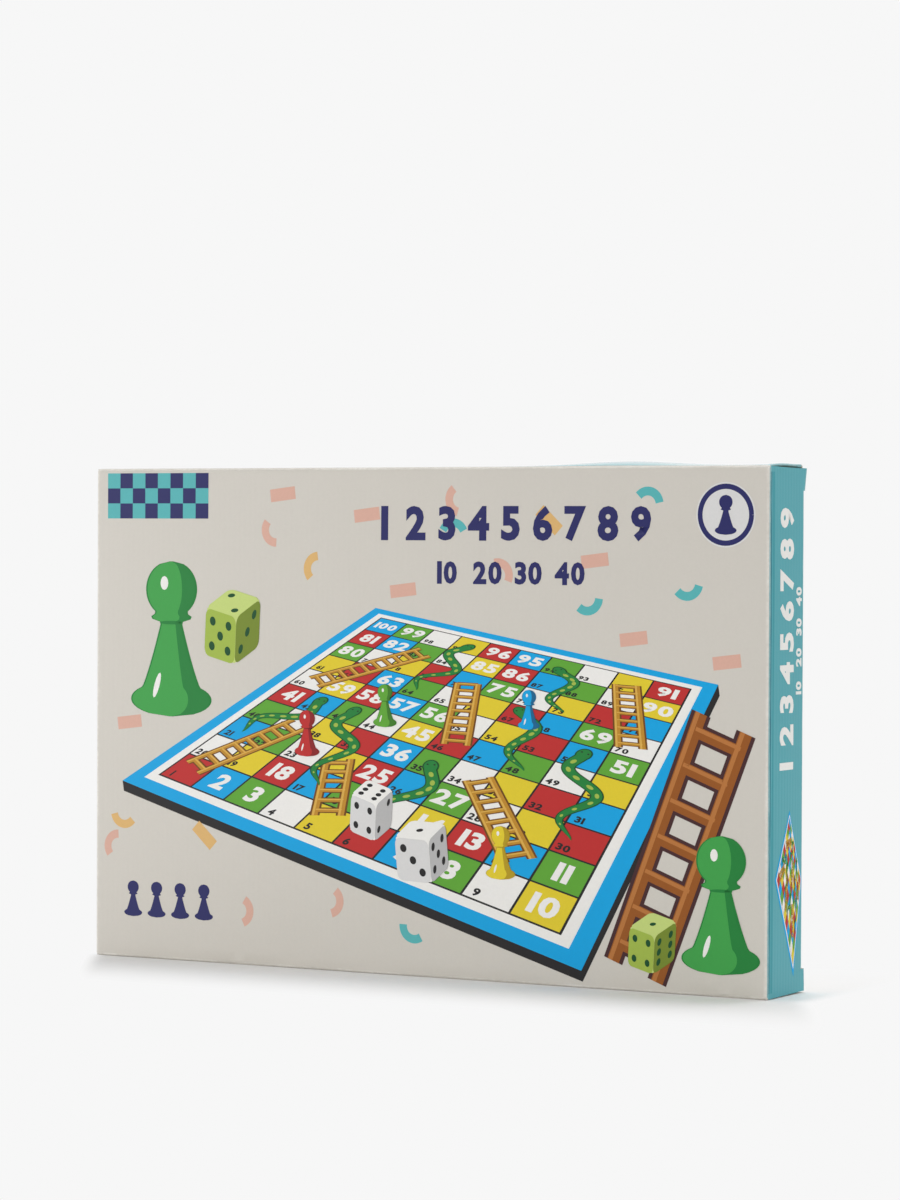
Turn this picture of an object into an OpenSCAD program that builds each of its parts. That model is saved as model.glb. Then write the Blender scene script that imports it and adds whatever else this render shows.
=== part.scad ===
// Boxed snakes and ladders game: a corrugated tuck-end carton that stands on its long edge,
// with a card insert, a folding board, four pawns and two dice inside.
// Frame: +Z up, the printed front faces -Y, the end panel that shows in front view is at +X.
// The origin is the centre of the footprint, on the surface that the carton stands on.

/* [Carton] */
// Width of the closed carton over both end panels
carton_w = 396; // [370:1:430]
// Depth of the carton from front face to back face
carton_d = 42; // [40:0.5:60]
// Height of the carton as it stands
carton_h = 260; // [230:1:320]
// Thickness of the corrugated board
wall = 1.6; // [1.2:0.1:2]
// Height of the glue flap inside the back panel
glue_h = 20; // [14:1:22]
// Cut-back of the glue flap's free corners
glue_chamfer = 8; // [4:1:12]

/* [End closures] */
// Clearance in every crease and between folded panels
crease_gap = 0.3; // [0.2:0.05:0.4]
// Gap between an end panel and the top and bottom of the carton
closure_inset = 1; // [0.5:0.1:2]
// Height of the two lock shoulders on an end panel's back edge
shoulder_h = 11; // [8:0.5:14]
// How far the shoulders stand past the back panel
shoulder_over = 1; // [0.5:0.1:2]
// Length of a tuck flap from its crease
tuck_l = 13; // [10:0.5:14]
// Angle at which a tuck flap leans into the carton
tuck_lean = 28; // [24:1:32]
// Cut-back of a tuck flap's free corners
tuck_chamfer = 5; // [2:0.5:8]
// Length of a dust flap from its crease
dust_l = 24; // [18:0.5:26]
// Cut-back of a dust flap's free corners
dust_chamfer = 3; // [1:0.5:5]
// Room between a dust flap's back edge and the tuck flap's crease
dust_back_room = 6; // [5:0.5:9]
// Room between a tuck flap at rest and what the carton holds
end_room = 2.5; // [2:0.5:6]

/* [Card insert] */
// Thickness of the insert's card
insert_t = 1.2; // [0.8:0.1:1.6]
// Room between the insert and the carton's walls
insert_fit = 0.3; // [0.2:0.05:0.6]
// Room over the lower dust flaps below the insert's deck surface
deck_over = 3; // [2:0.5:6]
// Diameter of a pawn pocket
pawn_pocket_d = 20; // [17:0.5:22]
// Side of a die pocket
die_pocket = 20; // [18:0.5:22]
// Distance between neighbouring pockets
pocket_pitch = 36; // [26:1:50]

/* [Folding board] */
// Side of the square board when it lies open
board_side = 300; // [260:1:310]
// Thickness of one board leaf
leaf_t = 2; // [1.5:0.1:2.5]
// Gap between the folded leaves, for the hinge strip and the rules
leaf_gap = 0.8; // [0.6:0.05:1.2]
// Running gap between the board and what it stands on or against
board_room = 0.3; // [0.2:0.05:0.6]
// Rounding of the leaves' corners
leaf_corner_r = 3; // [1:0.5:6]
// Height of the hinge strip along the fold
strip_h = 15; // [10:1:25]
// Thickness of the hinge strip and of the folded rules sheet
paper_t = 0.4; // [0.2:0.05:0.5]
// Width of the folded rules sheet
rules_w = 148; // [100:1:200]
// Height of the folded rules sheet
rules_h = 105; // [70:1:110]

/* [Playing pieces] */
// Gap between a piece and the carton's bottom
piece_room = 0.2; // [0.1:0.05:0.4]
// Height of a pawn
pawn_h = 25; // [20:0.5:30]
// Diameter of a pawn's foot
pawn_foot_d = 14; // [11:0.5:16]
// Height of a pawn's foot
pawn_foot_h = 3; // [2:0.25:4]
// Diameter of a pawn's neck
pawn_neck_d = 5; // [4:0.25:6]
// Diameter of the collar under a pawn's head
pawn_collar_d = 9; // [7:0.25:11]
// Thickness of the collar
pawn_collar_h = 1.4; // [1:0.1:2]
// Diameter of a pawn's head
pawn_head_d = 9; // [7:0.25:11]
// Side of a die
die_s = 16; // [12:0.5:16]
// Diameter of a pip on a die
pip_d = 2.8; // [2:0.1:3]
// Depth of a pip
pip_depth = 0.5; // [0.3:0.05:0.8]
// Distance between neighbouring pips
pip_pitch = 4.2; // [3.4:0.1:4.4]

/* [Hidden] */
$fn = 48;
half_wall = wall / 2;

// Faces of the carton
end_x = carton_w / 2;
front_y = -(carton_d + shoulder_over) / 2;
back_y = front_y + carton_d;
inner_front_y = front_y + wall;
inner_back_y = back_y - wall;
// The long folds are as round outside as the board is thick
fold_r = wall;

// Crease lines of the end closures
hinge_x = end_x - half_wall;
hinge_y = front_y + half_wall;
tuck_y = inner_back_y - crease_gap - half_wall;
body_end_x = end_x - wall - crease_gap;
dust_x = body_end_x - half_wall;
crease_start = half_wall + crease_gap;

// End panel between top and bottom, and the stretch of its back edge that carries the tuck flap
closure_z0 = closure_inset;
closure_z1 = carton_h - closure_inset;
tuck_z0 = closure_z0 + shoulder_h;
tuck_z1 = closure_z1 - shoulder_h;
shoulder_tip_y = back_y + shoulder_over;
// The upper and lower shoulders narrow to this share of their reach at the crease's ends
shoulder_slope_share = 0.4;
// A tuck flap starts further out on the side that faces the end panel, so that it can lean
tuck_mitre = (crease_start + half_wall * sin(tuck_lean)) / cos(tuck_lean);

// Dust flaps taper so that they clear the end panel as both swing out
dust_taper_share = 0.5;
dust_root_y = hinge_y + wall;
dust_back_y = tuck_y - dust_back_room;

// Inside of the carton between the two tuck flaps
load_x = hinge_x - tuck_l - end_room;
glue_x = load_x;

// Card insert
deck_z = half_wall + dust_l + deck_over;
deck_front_y = inner_front_y + insert_fit;
deck_back_y = inner_back_y - insert_fit;
insert_wall_h = deck_z - insert_t - wall;
insert_back_y = inner_back_y - wall - insert_fit;

// Folded board, fold upwards, standing on the insert's deck against the back panel
leaf_h = board_side / 2;
board_x1 = load_x;
board_x0 = board_x1 - board_side;
board_z0 = deck_z + board_room;
board_back_y = inner_back_y - board_room;
back_leaf_y = board_back_y - leaf_t;
front_leaf_y = back_leaf_y - leaf_gap - leaf_t;
paper_y = back_leaf_y - (leaf_gap + paper_t) / 2;
rules_z = board_z0 + leaf_h - strip_h - board_room - rules_h;

// Pockets in a row along the free bay in front of the board
pocket_count = 6;
pawn_count = 4;
pocket_y = (inner_front_y + front_leaf_y) / 2;
function pocket_x(i) = (i - (pocket_count - 1) / 2) * pocket_pitch;
piece_z = wall + piece_room;

// Pawn: foot, tapered body, collar and ball head
pawn_colours = ["#b8302a", "#2f6db3", "#3f9142", "#e2bd2c"];
pawn_head_z = pawn_h - pawn_head_d / 2;
pawn_collar_z = pawn_h - pawn_head_d - pawn_collar_h / 2;
// Share of the foot's width at which the body starts
pawn_body_share = 0.8;

// Dice: a cube rounded by a ball, with dished pips
die_round_share = 1.45;
pip_r = (pip_d * pip_d / 4 + pip_depth * pip_depth) / (2 * pip_depth);
// Turn that brings each face to the top, ones first; opposite faces add up to seven
face_turns = [[0, 0, 0], [90, 0, 0], [0, 90, 0], [0, -90, 0], [-90, 0, 0], [180, 0, 0]];
function pip_spots(n) = concat(
    n % 2 == 1 ? [[0, 0]] : [],
    n > 1 ? [[-1, -1], [1, 1]] : [],
    n > 3 ? [[-1, 1], [1, -1]] : [],
    n > 5 ? [[-1, 0], [1, 0]] : []
);

front_colour = "#cbc5bb";
end_colour = "#5fa5ab";
kraft_colour = "#b08a5e";
card_colour = "#c9b08a";
leaf_colour = "#2f6db3";
strip_colour = "#26305e";
paper_colour = "#f2f0ea";
die_colour = "#f4f2ec";

// A flat shape drawn in depth and height, given a thickness along X from x
module plate_x(x, thickness) {
    translate([x, 0, 0]) rotate([90, 0, 90]) linear_extrude(thickness) children();
}

// A flat shape drawn in width and height, given a thickness along Y from y
module plate_y(y, thickness) {
    translate([0, y + thickness, 0]) rotate([90, 0, 0]) linear_extrude(thickness) children();
}

// A rectangle with rounded corners, its low corner at the origin
module rounded_rectangle(width, height, r) {
    translate([r, 0]) square([width - 2 * r, height]);
    translate([0, r]) square([width, height - 2 * r]);
    for (x = [r, width - r], y = [r, height - r]) translate([x, y]) circle(r);
}

// The closed carton's outer form with its four round folds along X
module carton_form() {
    plate_x(-end_x, carton_w) translate([front_y, 0]) rounded_rectangle(carton_d, carton_h, fold_r);
}

// Front panel: its ends are half round about the end panels' creases
module front_panel() {
    color(front_colour) intersection() {
        carton_form();
        linear_extrude(carton_h) {
            translate([-hinge_x, front_y]) square([2 * hinge_x, wall]);
            for (x = [-hinge_x, hinge_x]) translate([x, hinge_y]) circle(half_wall);
        }
    }
}

module back_panel() {
    color(front_colour) intersection() {
        carton_form();
        translate([-body_end_x, inner_back_y, 0]) cube([2 * body_end_x, wall, carton_h]);
    }
}

// Top or bottom panel: its ends are half round about the dust flaps' creases
module long_edge_panel(z) {
    plate_y(inner_front_y, inner_back_y - inner_front_y) {
        translate([-dust_x, z]) square([2 * dust_x, wall]);
        for (x = [-dust_x, dust_x]) translate([x, z + half_wall]) circle(half_wall);
    }
}

module top_panel() {
    color(end_colour) long_edge_panel(carton_h - wall);
}

module bottom_panel() {
    color(end_colour) long_edge_panel(0);
}

// Glue flap: folded up from the bottom panel and glued inside the back panel
module glue_flap() {
    color(kraft_colour) plate_y(inner_back_y - wall, wall) translate([0, wall]) polygon([
        [-glue_x, 0], [glue_x, 0], [glue_x, glue_h - glue_chamfer], [glue_x - glue_chamfer, glue_h],
        [glue_chamfer - glue_x, glue_h], [-glue_x, glue_h - glue_chamfer]
    ]);
}

// One lock shoulder: widest at the panel's end, narrower towards the tuck flap
module shoulder(z_end, z_crease) {
    reach = shoulder_tip_y - tuck_y;
    polygon([
        [tuck_y, z_end], [shoulder_tip_y, z_end],
        [tuck_y + reach * shoulder_slope_share, z_crease], [tuck_y, z_crease]
    ]);
}

// End panel at +X with its lock shoulders and the half round crease of its tuck flap
module closure_panel() {
    plate_x(end_x - wall, wall) {
        translate([hinge_y + crease_start, closure_z0])
            square([tuck_y - hinge_y - crease_start, closure_z1 - closure_z0]);
        shoulder(closure_z0, tuck_z0);
        shoulder(closure_z1, tuck_z1);
    }
    translate([hinge_x, tuck_y, tuck_z0]) cylinder(r = half_wall, h = tuck_z1 - tuck_z0);
}

// Tuck flap at +X, made along +X from its crease and then leaned into the carton
module tuck_flap() {
    flap_z0 = tuck_z0 + crease_gap;
    flap_h = tuck_z1 - tuck_z0 - 2 * crease_gap;
    translate([hinge_x, tuck_y, flap_z0]) rotate([0, 0, 180 + tuck_lean]) intersection() {
        linear_extrude(flap_h) polygon([
            [crease_start, -half_wall], [tuck_l, -half_wall], [tuck_l, half_wall], [tuck_mitre, half_wall]
        ]);
        plate_y(-half_wall, wall) polygon([
            [0, 0], [tuck_l - tuck_chamfer, 0], [tuck_l, tuck_chamfer], [tuck_l, flap_h - tuck_chamfer],
            [tuck_l - tuck_chamfer, flap_h], [0, flap_h]
        ]);
    }
}

// Upper dust flap at +X, hanging from the top panel's crease
module dust_flap() {
    tip_y = dust_root_y + dust_l * dust_taper_share;
    crease_z = carton_h - half_wall;
    plate_x(dust_x - half_wall, wall) translate([0, crease_z]) polygon([
        [dust_root_y, -crease_start], [dust_back_y, -crease_start], [dust_back_y, dust_chamfer - dust_l],
        [dust_back_y - dust_chamfer, -dust_l], [tip_y, -dust_l]
    ]);
}

module to_left() {
    mirror([1, 0, 0]) children();
}

module to_bottom() {
    translate([0, 0, carton_h]) mirror([0, 0, 1]) children();
}

module right_closure() {
    color(end_colour) closure_panel();
}

module right_tuck_flap() {
    color(end_colour) tuck_flap();
}

module right_upper_dust_flap() {
    color(kraft_colour) dust_flap();
}

module right_lower_dust_flap() {
    color(kraft_colour) to_bottom() dust_flap();
}

module left_closure() {
    color(end_colour) to_left() closure_panel();
}

module left_tuck_flap() {
    color(end_colour) to_left() tuck_flap();
}

module left_upper_dust_flap() {
    color(kraft_colour) to_left() dust_flap();
}

module left_lower_dust_flap() {
    color(kraft_colour) to_left() to_bottom() dust_flap();
}

// Deck of the card insert with four round pockets for pawns and two square ones for dice
module insert_deck() {
    color(card_colour) translate([0, 0, deck_z - insert_t]) linear_extrude(insert_t) difference() {
        translate([-load_x, deck_front_y]) square([2 * load_x, deck_back_y - deck_front_y]);
        for (i = [0:pocket_count - 1]) translate([pocket_x(i), pocket_y])
            if (i < pawn_count) circle(d = pawn_pocket_d);
            else square(die_pocket, center = true);
    }
}

// A wall under the deck along X, its low face at y
module insert_long_wall(y) {
    translate([-load_x, y, wall]) cube([2 * load_x, insert_t, insert_wall_h]);
}

module insert_front_wall() {
    color(card_colour) insert_long_wall(deck_front_y);
}

module insert_back_wall() {
    color(card_colour) insert_long_wall(insert_back_y - insert_t);
}

// A wall under the deck across the carton at +X, between the two long walls
module insert_end() {
    end_y = deck_front_y + insert_t;
    translate([load_x - insert_t, end_y, wall])
        cube([insert_t, insert_back_y - insert_t - end_y, insert_wall_h]);
}

module insert_left_end() {
    color(card_colour) to_left() insert_end();
}

module insert_right_end() {
    color(card_colour) insert_end();
}

// One leaf of the board with its back corner at y
module leaf(y) {
    plate_y(y, leaf_t) translate([board_x0, board_z0]) rounded_rectangle(board_side, leaf_h, leaf_corner_r);
}

module board_back_leaf() {
    color(leaf_colour) leaf(back_leaf_y);
}

module board_front_leaf() {
    color(leaf_colour) leaf(front_leaf_y);
}

// Paper hinge strip inside the fold, between the leaves' rounded corners
module board_hinge_strip() {
    color(strip_colour) translate([board_x0 + leaf_corner_r, paper_y, board_z0 + leaf_h - strip_h])
        cube([board_side - 2 * leaf_corner_r, paper_t, strip_h]);
}

// Folded rules sheet, kept between the leaves
module rules_sheet() {
    color(paper_colour) translate([(board_x0 + board_x1 - rules_w) / 2, paper_y, rules_z])
        cube([rules_w, paper_t, rules_h]);
}

module pawn(i) {
    color(pawn_colours[i]) translate([pocket_x(i), pocket_y, piece_z]) {
        cylinder(d = pawn_foot_d, h = pawn_foot_h);
        translate([0, 0, pawn_foot_h]) cylinder(
            d1 = pawn_foot_d * pawn_body_share, d2 = pawn_neck_d, h = pawn_collar_z - pawn_foot_h
        );
        translate([0, 0, pawn_collar_z]) cylinder(d = pawn_collar_d, h = pawn_collar_h);
        translate([0, 0, pawn_head_z]) sphere(d = pawn_head_d);
    }
}

// Die in pocket i, standing on the carton's bottom with face_up on top
module die(i, face_up) {
    turn = face_turns[face_up - 1];
    color(die_colour) translate([pocket_x(i), pocket_y, piece_z + die_s / 2]) rotate(-turn) difference() {
        intersection() {
            cube(die_s, center = true);
            sphere(d = die_s * die_round_share);
        }
        for (n = [1:6]) rotate(face_turns[n - 1]) for (spot = pip_spots(n))
            translate([spot.x * pip_pitch, spot.y * pip_pitch, die_s / 2 + pip_r - pip_depth])
                sphere(pip_r);
    }
}

front_panel();
back_panel();
top_panel();
bottom_panel();
glue_flap();
right_closure();
right_tuck_flap();
right_upper_dust_flap();
right_lower_dust_flap();
left_closure();
left_tuck_flap();
left_upper_dust_flap();
left_lower_dust_flap();
insert_deck();
insert_front_wall();
insert_back_wall();
insert_left_end();
insert_right_end();
board_back_leaf();
board_front_leaf();
board_hinge_strip();
rules_sheet();
pawn(0);  // pawn_red
pawn(1);  // pawn_blue
pawn(2);  // pawn_green
pawn(3);  // pawn_yellow
die(4, 5);  // die_one
die(5, 3);  // die_two
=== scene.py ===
# %% [markdown]
# This lesson dresses a boxed board game. The real object is one sheet of fine corrugated board, printed,
# cut, creased and glued into a tube, with a closure at each end and the game inside. The imported CAD model
# gives the main sizes and places, so the first step only loads it.

# %% Load the imported carton
import math
import bpy
import numpy as np
from mathutils import Matrix, Vector


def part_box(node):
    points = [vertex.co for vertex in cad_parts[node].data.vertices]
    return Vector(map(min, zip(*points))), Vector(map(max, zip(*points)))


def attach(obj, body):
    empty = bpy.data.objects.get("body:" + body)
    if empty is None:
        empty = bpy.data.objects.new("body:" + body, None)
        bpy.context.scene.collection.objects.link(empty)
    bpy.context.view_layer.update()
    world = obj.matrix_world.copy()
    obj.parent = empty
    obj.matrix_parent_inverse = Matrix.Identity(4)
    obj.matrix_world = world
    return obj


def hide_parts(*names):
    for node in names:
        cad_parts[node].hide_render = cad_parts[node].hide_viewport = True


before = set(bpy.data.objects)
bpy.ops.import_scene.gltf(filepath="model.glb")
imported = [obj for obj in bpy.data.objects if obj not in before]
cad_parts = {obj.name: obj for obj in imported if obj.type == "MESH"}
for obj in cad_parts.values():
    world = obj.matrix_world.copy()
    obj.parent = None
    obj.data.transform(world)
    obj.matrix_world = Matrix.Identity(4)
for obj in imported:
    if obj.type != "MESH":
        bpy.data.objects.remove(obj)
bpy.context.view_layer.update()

MM = 0.001


# %% [markdown]
# The carton's main sizes are measured from the CAD nodes and not typed again. Small forms, such as a fold's
# radius or a cut corner, and the places of the print are typed in millimetres, because board, flutes and
# ink are millimetre things. Numbers turn to metres where they are handed to Blender.

# %% Sizes read from the frame
def node_box(name):
    """Lowest and highest corner of a CAD node at rest, in millimetres."""
    low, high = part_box(name)
    return np.array(low) / MM, np.array(high) / MM


front_low, front_high = node_box("front_panel")
back_low, back_high = node_box("back_panel")
closure_low, closure_high = node_box("right_closure")
tuck_low, tuck_high = node_box("right_tuck_flap")
dust_low, dust_high = node_box("right_upper_dust_flap")
carton_h = front_high[2]
front_y, back_y = front_low[1], back_high[1]
wall = front_high[1] - front_low[1]
half_wall = wall / 2
end_x, body_end_x = closure_high[0], back_high[0]
hinge_x, hinge_y = front_high[0] - half_wall, front_y + half_wall
dust_x, dust_z = node_box("top_panel")[1][0] - half_wall, carton_h - half_wall
crease_gap = closure_low[1] - front_high[1]
tuck_y = back_low[1] - crease_gap - half_wall
print(f"carton {2 * end_x:.1f} x {back_y - front_y:.1f} x {carton_h:.1f} mm, board {wall:.1f} mm thick")

# %% [markdown]
# The camera repeats the photograph's view. A pinhole camera was fitted to the carton's corners: its turn
# round the carton, its slight look down, its tiny roll and its distance. The three camera axes are built
# from these angles, because a matrix of axes shows plainly what each angle does.

# %% Camera
LENS, SENSOR = 119.08, 36.0
VIEW_YAW, VIEW_PITCH, VIEW_ROLL = np.radians([29.856, 0.936, 0.247])
LOOK_AT = np.array([19.59, front_y, 192.57])
VIEW_DISTANCE = 2013.8

toward = np.array([math.sin(VIEW_YAW) * math.cos(VIEW_PITCH), -math.cos(VIEW_YAW) * math.cos(VIEW_PITCH),
                   math.sin(VIEW_PITCH)])
sideways = np.array([math.cos(VIEW_YAW), math.sin(VIEW_YAW), 0.0])
rise = np.cross(toward, sideways)
right = math.cos(VIEW_ROLL) * sideways + math.sin(VIEW_ROLL) * rise
upward = np.cross(toward, right)
camera = bpy.data.objects.new("camera", bpy.data.cameras.new("camera"))
camera.data.sensor_fit = "VERTICAL"
camera.data.sensor_height = SENSOR
camera.data.lens = LENS
turn = Matrix(np.column_stack([right, upward, toward]).tolist()).to_4x4()
camera.matrix_world = Matrix.Translation(Vector((LOOK_AT + VIEW_DISTANCE * toward) * MM)) @ turn
bpy.context.scene.collection.objects.link(camera)
bpy.context.scene.camera = camera
bpy.context.scene.view_settings.view_transform = "Standard"
print("camera at", [round(v, 3) for v in camera.matrix_world.translation])

# %% [markdown]
# Materials are graphs of nodes. A few small helpers keep their code short: they place a node, link or set
# each of its inputs, and do arithmetic between sockets. Colours are written as the sheet shows them, in
# screen values, and turned to the linear values that a shader works in.

# %% Node helpers
def linear(hex_colour):
    """Linear RGB of a screen colour by the sRGB curve: straight near black and a power above."""
    channel = np.array([int(hex_colour[i:i + 2], 16) for i in (1, 3, 5)]) / 255
    return tuple(np.where(channel <= 0.04045, channel / 12.92, ((channel + 0.055) / 1.055) ** 2.4))


def set_inputs(tree, node, inputs):
    """Links each input that is given a socket, sets each that is given a value, and returns the node."""
    for key, value in inputs.items():
        if isinstance(value, bpy.types.NodeSocket):
            tree.links.new(value, node.inputs[key])
        else:
            node.inputs[key].default_value = value
    return node


def place_node(tree, kind, inputs=(), **settings):
    """A shader node of this kind with its settings and inputs."""
    made = tree.nodes.new("ShaderNode" + kind)
    for key, value in settings.items():
        setattr(made, key, value)
    return set_inputs(tree, made, dict(inputs))


def calc(tree, operation, a, b=0.0):
    """The socket with the result of one arithmetic step on two values or sockets."""
    return place_node(tree, "Math", {0: a, 1: b}, operation=operation).outputs[0]


def vector_calc(tree, operation, a, b=(0, 0, 0)):
    """The same step on two vectors."""
    return place_node(tree, "VectorMath", {0: a, 1: b}, operation=operation).outputs[0]


def ranged(tree, value, low, high):
    """A value between nought and one, spread between two limits."""
    return place_node(tree, "MapRange", {0: value, 3: low, 4: high}).outputs[0]


def blend(tree, share, colour, other):
    """A colour that turns to another screen colour by a share."""
    mix = {"Factor": share, 6: colour, 7: linear(other) + (1,)}
    return place_node(tree, "Mix", mix, data_type="RGBA").outputs[2]


def noise(tree, scale, detail=2.0):
    """A noise value over Object coordinates."""
    place = place_node(tree, "TexCoord").outputs["Object"]
    return place_node(tree, "TexNoise", {"Vector": place, "Scale": scale, "Detail": detail}).outputs[0]


def new_material(name):
    """An empty material with its node tree and its main shader."""
    material = bpy.data.materials.new(name)
    material.use_nodes = True
    return material, material.node_tree, material.node_tree.nodes["Principled BSDF"]


print("middle grey in linear values:", [round(float(v), 3) for v in linear("#808080")])

# %% [markdown]
# The stage is a pale floor under soft light. The world lights the carton evenly. A broad lamp overhead and
# a little behind lays a soft shadow in front of the carton, and two smaller ones give the front and the end
# their tones. The camera sees one pale tone behind everything, and the floor fades into that tone.

# %% Stage: world and lamps
BACKDROP, SKY = 0.93, 0.42
LAMPS = {"overhead": ((0.1, 0.6, 1.8), 1.6, 22.0), "front_fill": ((-2.0, -1.5, 0.3), 0.5, 24.0),
         "end_fill": ((2.3, -1.0, 0.25), 0.4, 11.0)}
pale_tone = (BACKDROP,) * 3 + (1,)


def seen_plainly(tree):
    """One for rays from the camera and for those that mirror or pass through something, else zero."""
    path = place_node(tree, "LightPath").outputs
    mirrored = calc(tree, "MAXIMUM", path["Is Camera Ray"], path["Is Glossy Ray"])
    return calc(tree, "MAXIMUM", mirrored, path["Is Transmission Ray"])


world = bpy.data.worlds.new("studio")
bpy.context.scene.world = world
world.use_nodes = True
tree = world.node_tree
tree.nodes.clear()
sky = place_node(tree, "Background", {"Color": (1, 1, 1, 1), "Strength": SKY}).outputs[0]
backdrop = place_node(tree, "Background", {"Color": pale_tone, "Strength": 1.0}).outputs[0]
mixed = place_node(tree, "MixShader", {0: seen_plainly(tree), 1: sky, 2: backdrop})
place_node(tree, "OutputWorld", {"Surface": mixed.outputs[0]})
for name, (spot, size, power) in LAMPS.items():
    lamp = bpy.data.objects.new(name, bpy.data.lights.new(name, "AREA"))
    lamp.data.size = size
    lamp.data.energy = power
    aim = Vector((0, 0, carton_h / 2 * MM)) - Vector(spot)
    lamp.matrix_world = Matrix.Translation(spot) @ aim.to_track_quat("-Z", "Y").to_matrix().to_4x4()
    bpy.context.scene.collection.objects.link(lamp)

# %% [markdown]
# All new pieces are arrays of points and faces. One function turns such arrays into a Blender object: it
# gives each face its material, keeps edges sharp where faces meet steeply, and stores values in the points,
# such as how near a fold is. A material uses that value to show wear there, and on the beige also a painted
# highlight. Small helpers number grids, join shells and turn them the right way out.

# %% From arrays to a piece
SHARP_ANGLE = math.radians(38)


def unit_at(angle):
    """Unit vectors along angles: cosine and sine side by side."""
    return np.stack([np.cos(angle), np.sin(angle)], axis=-1)


def numbered(*shape):
    """A grid of point numbers, counted row by row."""
    return np.arange(math.prod(shape)).reshape(shape)


def quads(index, wrap_rows=False, wrap_cols=False):
    """Four-cornered faces between neighbours of a grid of point numbers, closed round where asked."""
    if wrap_rows:
        index = np.vstack([index, index[:1]])
    if wrap_cols:
        index = np.column_stack([index, index[:, :1]])
    corners = [index[:-1, :-1], index[:-1, 1:], index[1:, 1:], index[1:, :-1]]
    return np.stack(corners, axis=-1).reshape(-1, 4)


def outward(points, faces):
    """A closed shell's faces, turned round if its volume is negative: the sum of a . (b x c) over fans."""
    volume = 0.0
    for group in faces:
        a = points[group[:, 0]]
        for i in range(1, group.shape[1] - 1):
            volume += np.einsum("ij,ij->", a, np.cross(points[group[:, i]], points[group[:, i + 1]]))
    return faces if volume >= 0 else [group[:, ::-1] for group in faces]


def capped(grid):
    """A grid of points that closes round its columns, with its first and last row as caps."""
    points, number = grid.reshape(-1, 3), numbered(*grid.shape[:2])
    return points, outward(points, [quads(number, wrap_cols=True), number[:1, ::-1], number[-1:]])


def joined(parts):
    """Several shells as one: their points in a row, and each one's faces counted on from its first point."""
    starts = np.cumsum([0] + [len(points) for points, _ in parts])
    faces = [group + start for (_, groups), start in zip(parts, starts) for group in groups]
    return np.vstack([points for points, _ in parts]), faces


def add_piece(name, body, points, faces, materials, face_material=None, values=(), slot=None, stands_for=()):
    """An object of points in millimetres and faces; it rides on a body and may replace CAD nodes."""
    mesh = bpy.data.meshes.new(name)
    sizes = np.concatenate([np.full(len(group), group.shape[1]) for group in faces])
    corners = np.concatenate([group.ravel() for group in faces]).astype(np.int32)
    mesh.vertices.add(len(points))
    mesh.vertices.foreach_set("co", (np.asarray(points) * MM).astype(np.float32).ravel())
    mesh.loops.add(len(corners))
    mesh.loops.foreach_set("vertex_index", corners)
    mesh.polygons.add(len(sizes))
    mesh.polygons.foreach_set("loop_start", (np.cumsum(sizes) - sizes).astype(np.int32))
    if face_material is not None:
        mesh.polygons.foreach_set("material_index", np.asarray(face_material, np.int32))
    mesh.polygons.foreach_set("use_smooth", np.ones(len(sizes), bool))
    mesh.update(calc_edges=True)
    mesh.validate()
    mesh.set_sharp_from_angle(angle=SHARP_ANGLE)
    for key, value in dict(values).items():
        mesh.attributes.new(key, "FLOAT", "POINT").data.foreach_set("value", value.astype(np.float32))
    for material in materials:
        mesh.materials.append(material)
    piece = bpy.data.objects.new(name, mesh)
    bpy.context.scene.collection.objects.link(piece)
    if body:
        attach(piece, body)
    if stands_for:
        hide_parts(*stands_for)
    print(f"{name}: {len(points)} points, {len(sizes)} faces")
    return piece


# %% [markdown]
# The floor is a flat disc, a grid of radius and angle. Its own shading keeps the soft shadow, and away from
# the carton it gives the camera the backdrop's tone, so no horizon shows. The limit between the two slants
# in front of the carton, so that the shadow ends below its left corner as the camera sees it.

# %% Floor
FLOOR_RADIUS, FLOOR_RINGS, FLOOR_SPOKES = 6.0, 24, 64
FLOOR_GRAIN, FLOOR_TONES, FLOOR_ROUGH = 60.0, (0.96, 0.98), 0.9
SHADOW_NEAR, SHADOW_FAR, SHADOW_SHAPE = 0.01, 0.105, (7.0, 1.0, 0.0)
SHADOW_SLANT, SHADOW_SHIFT = math.tan(VIEW_YAW), 0.009


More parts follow.
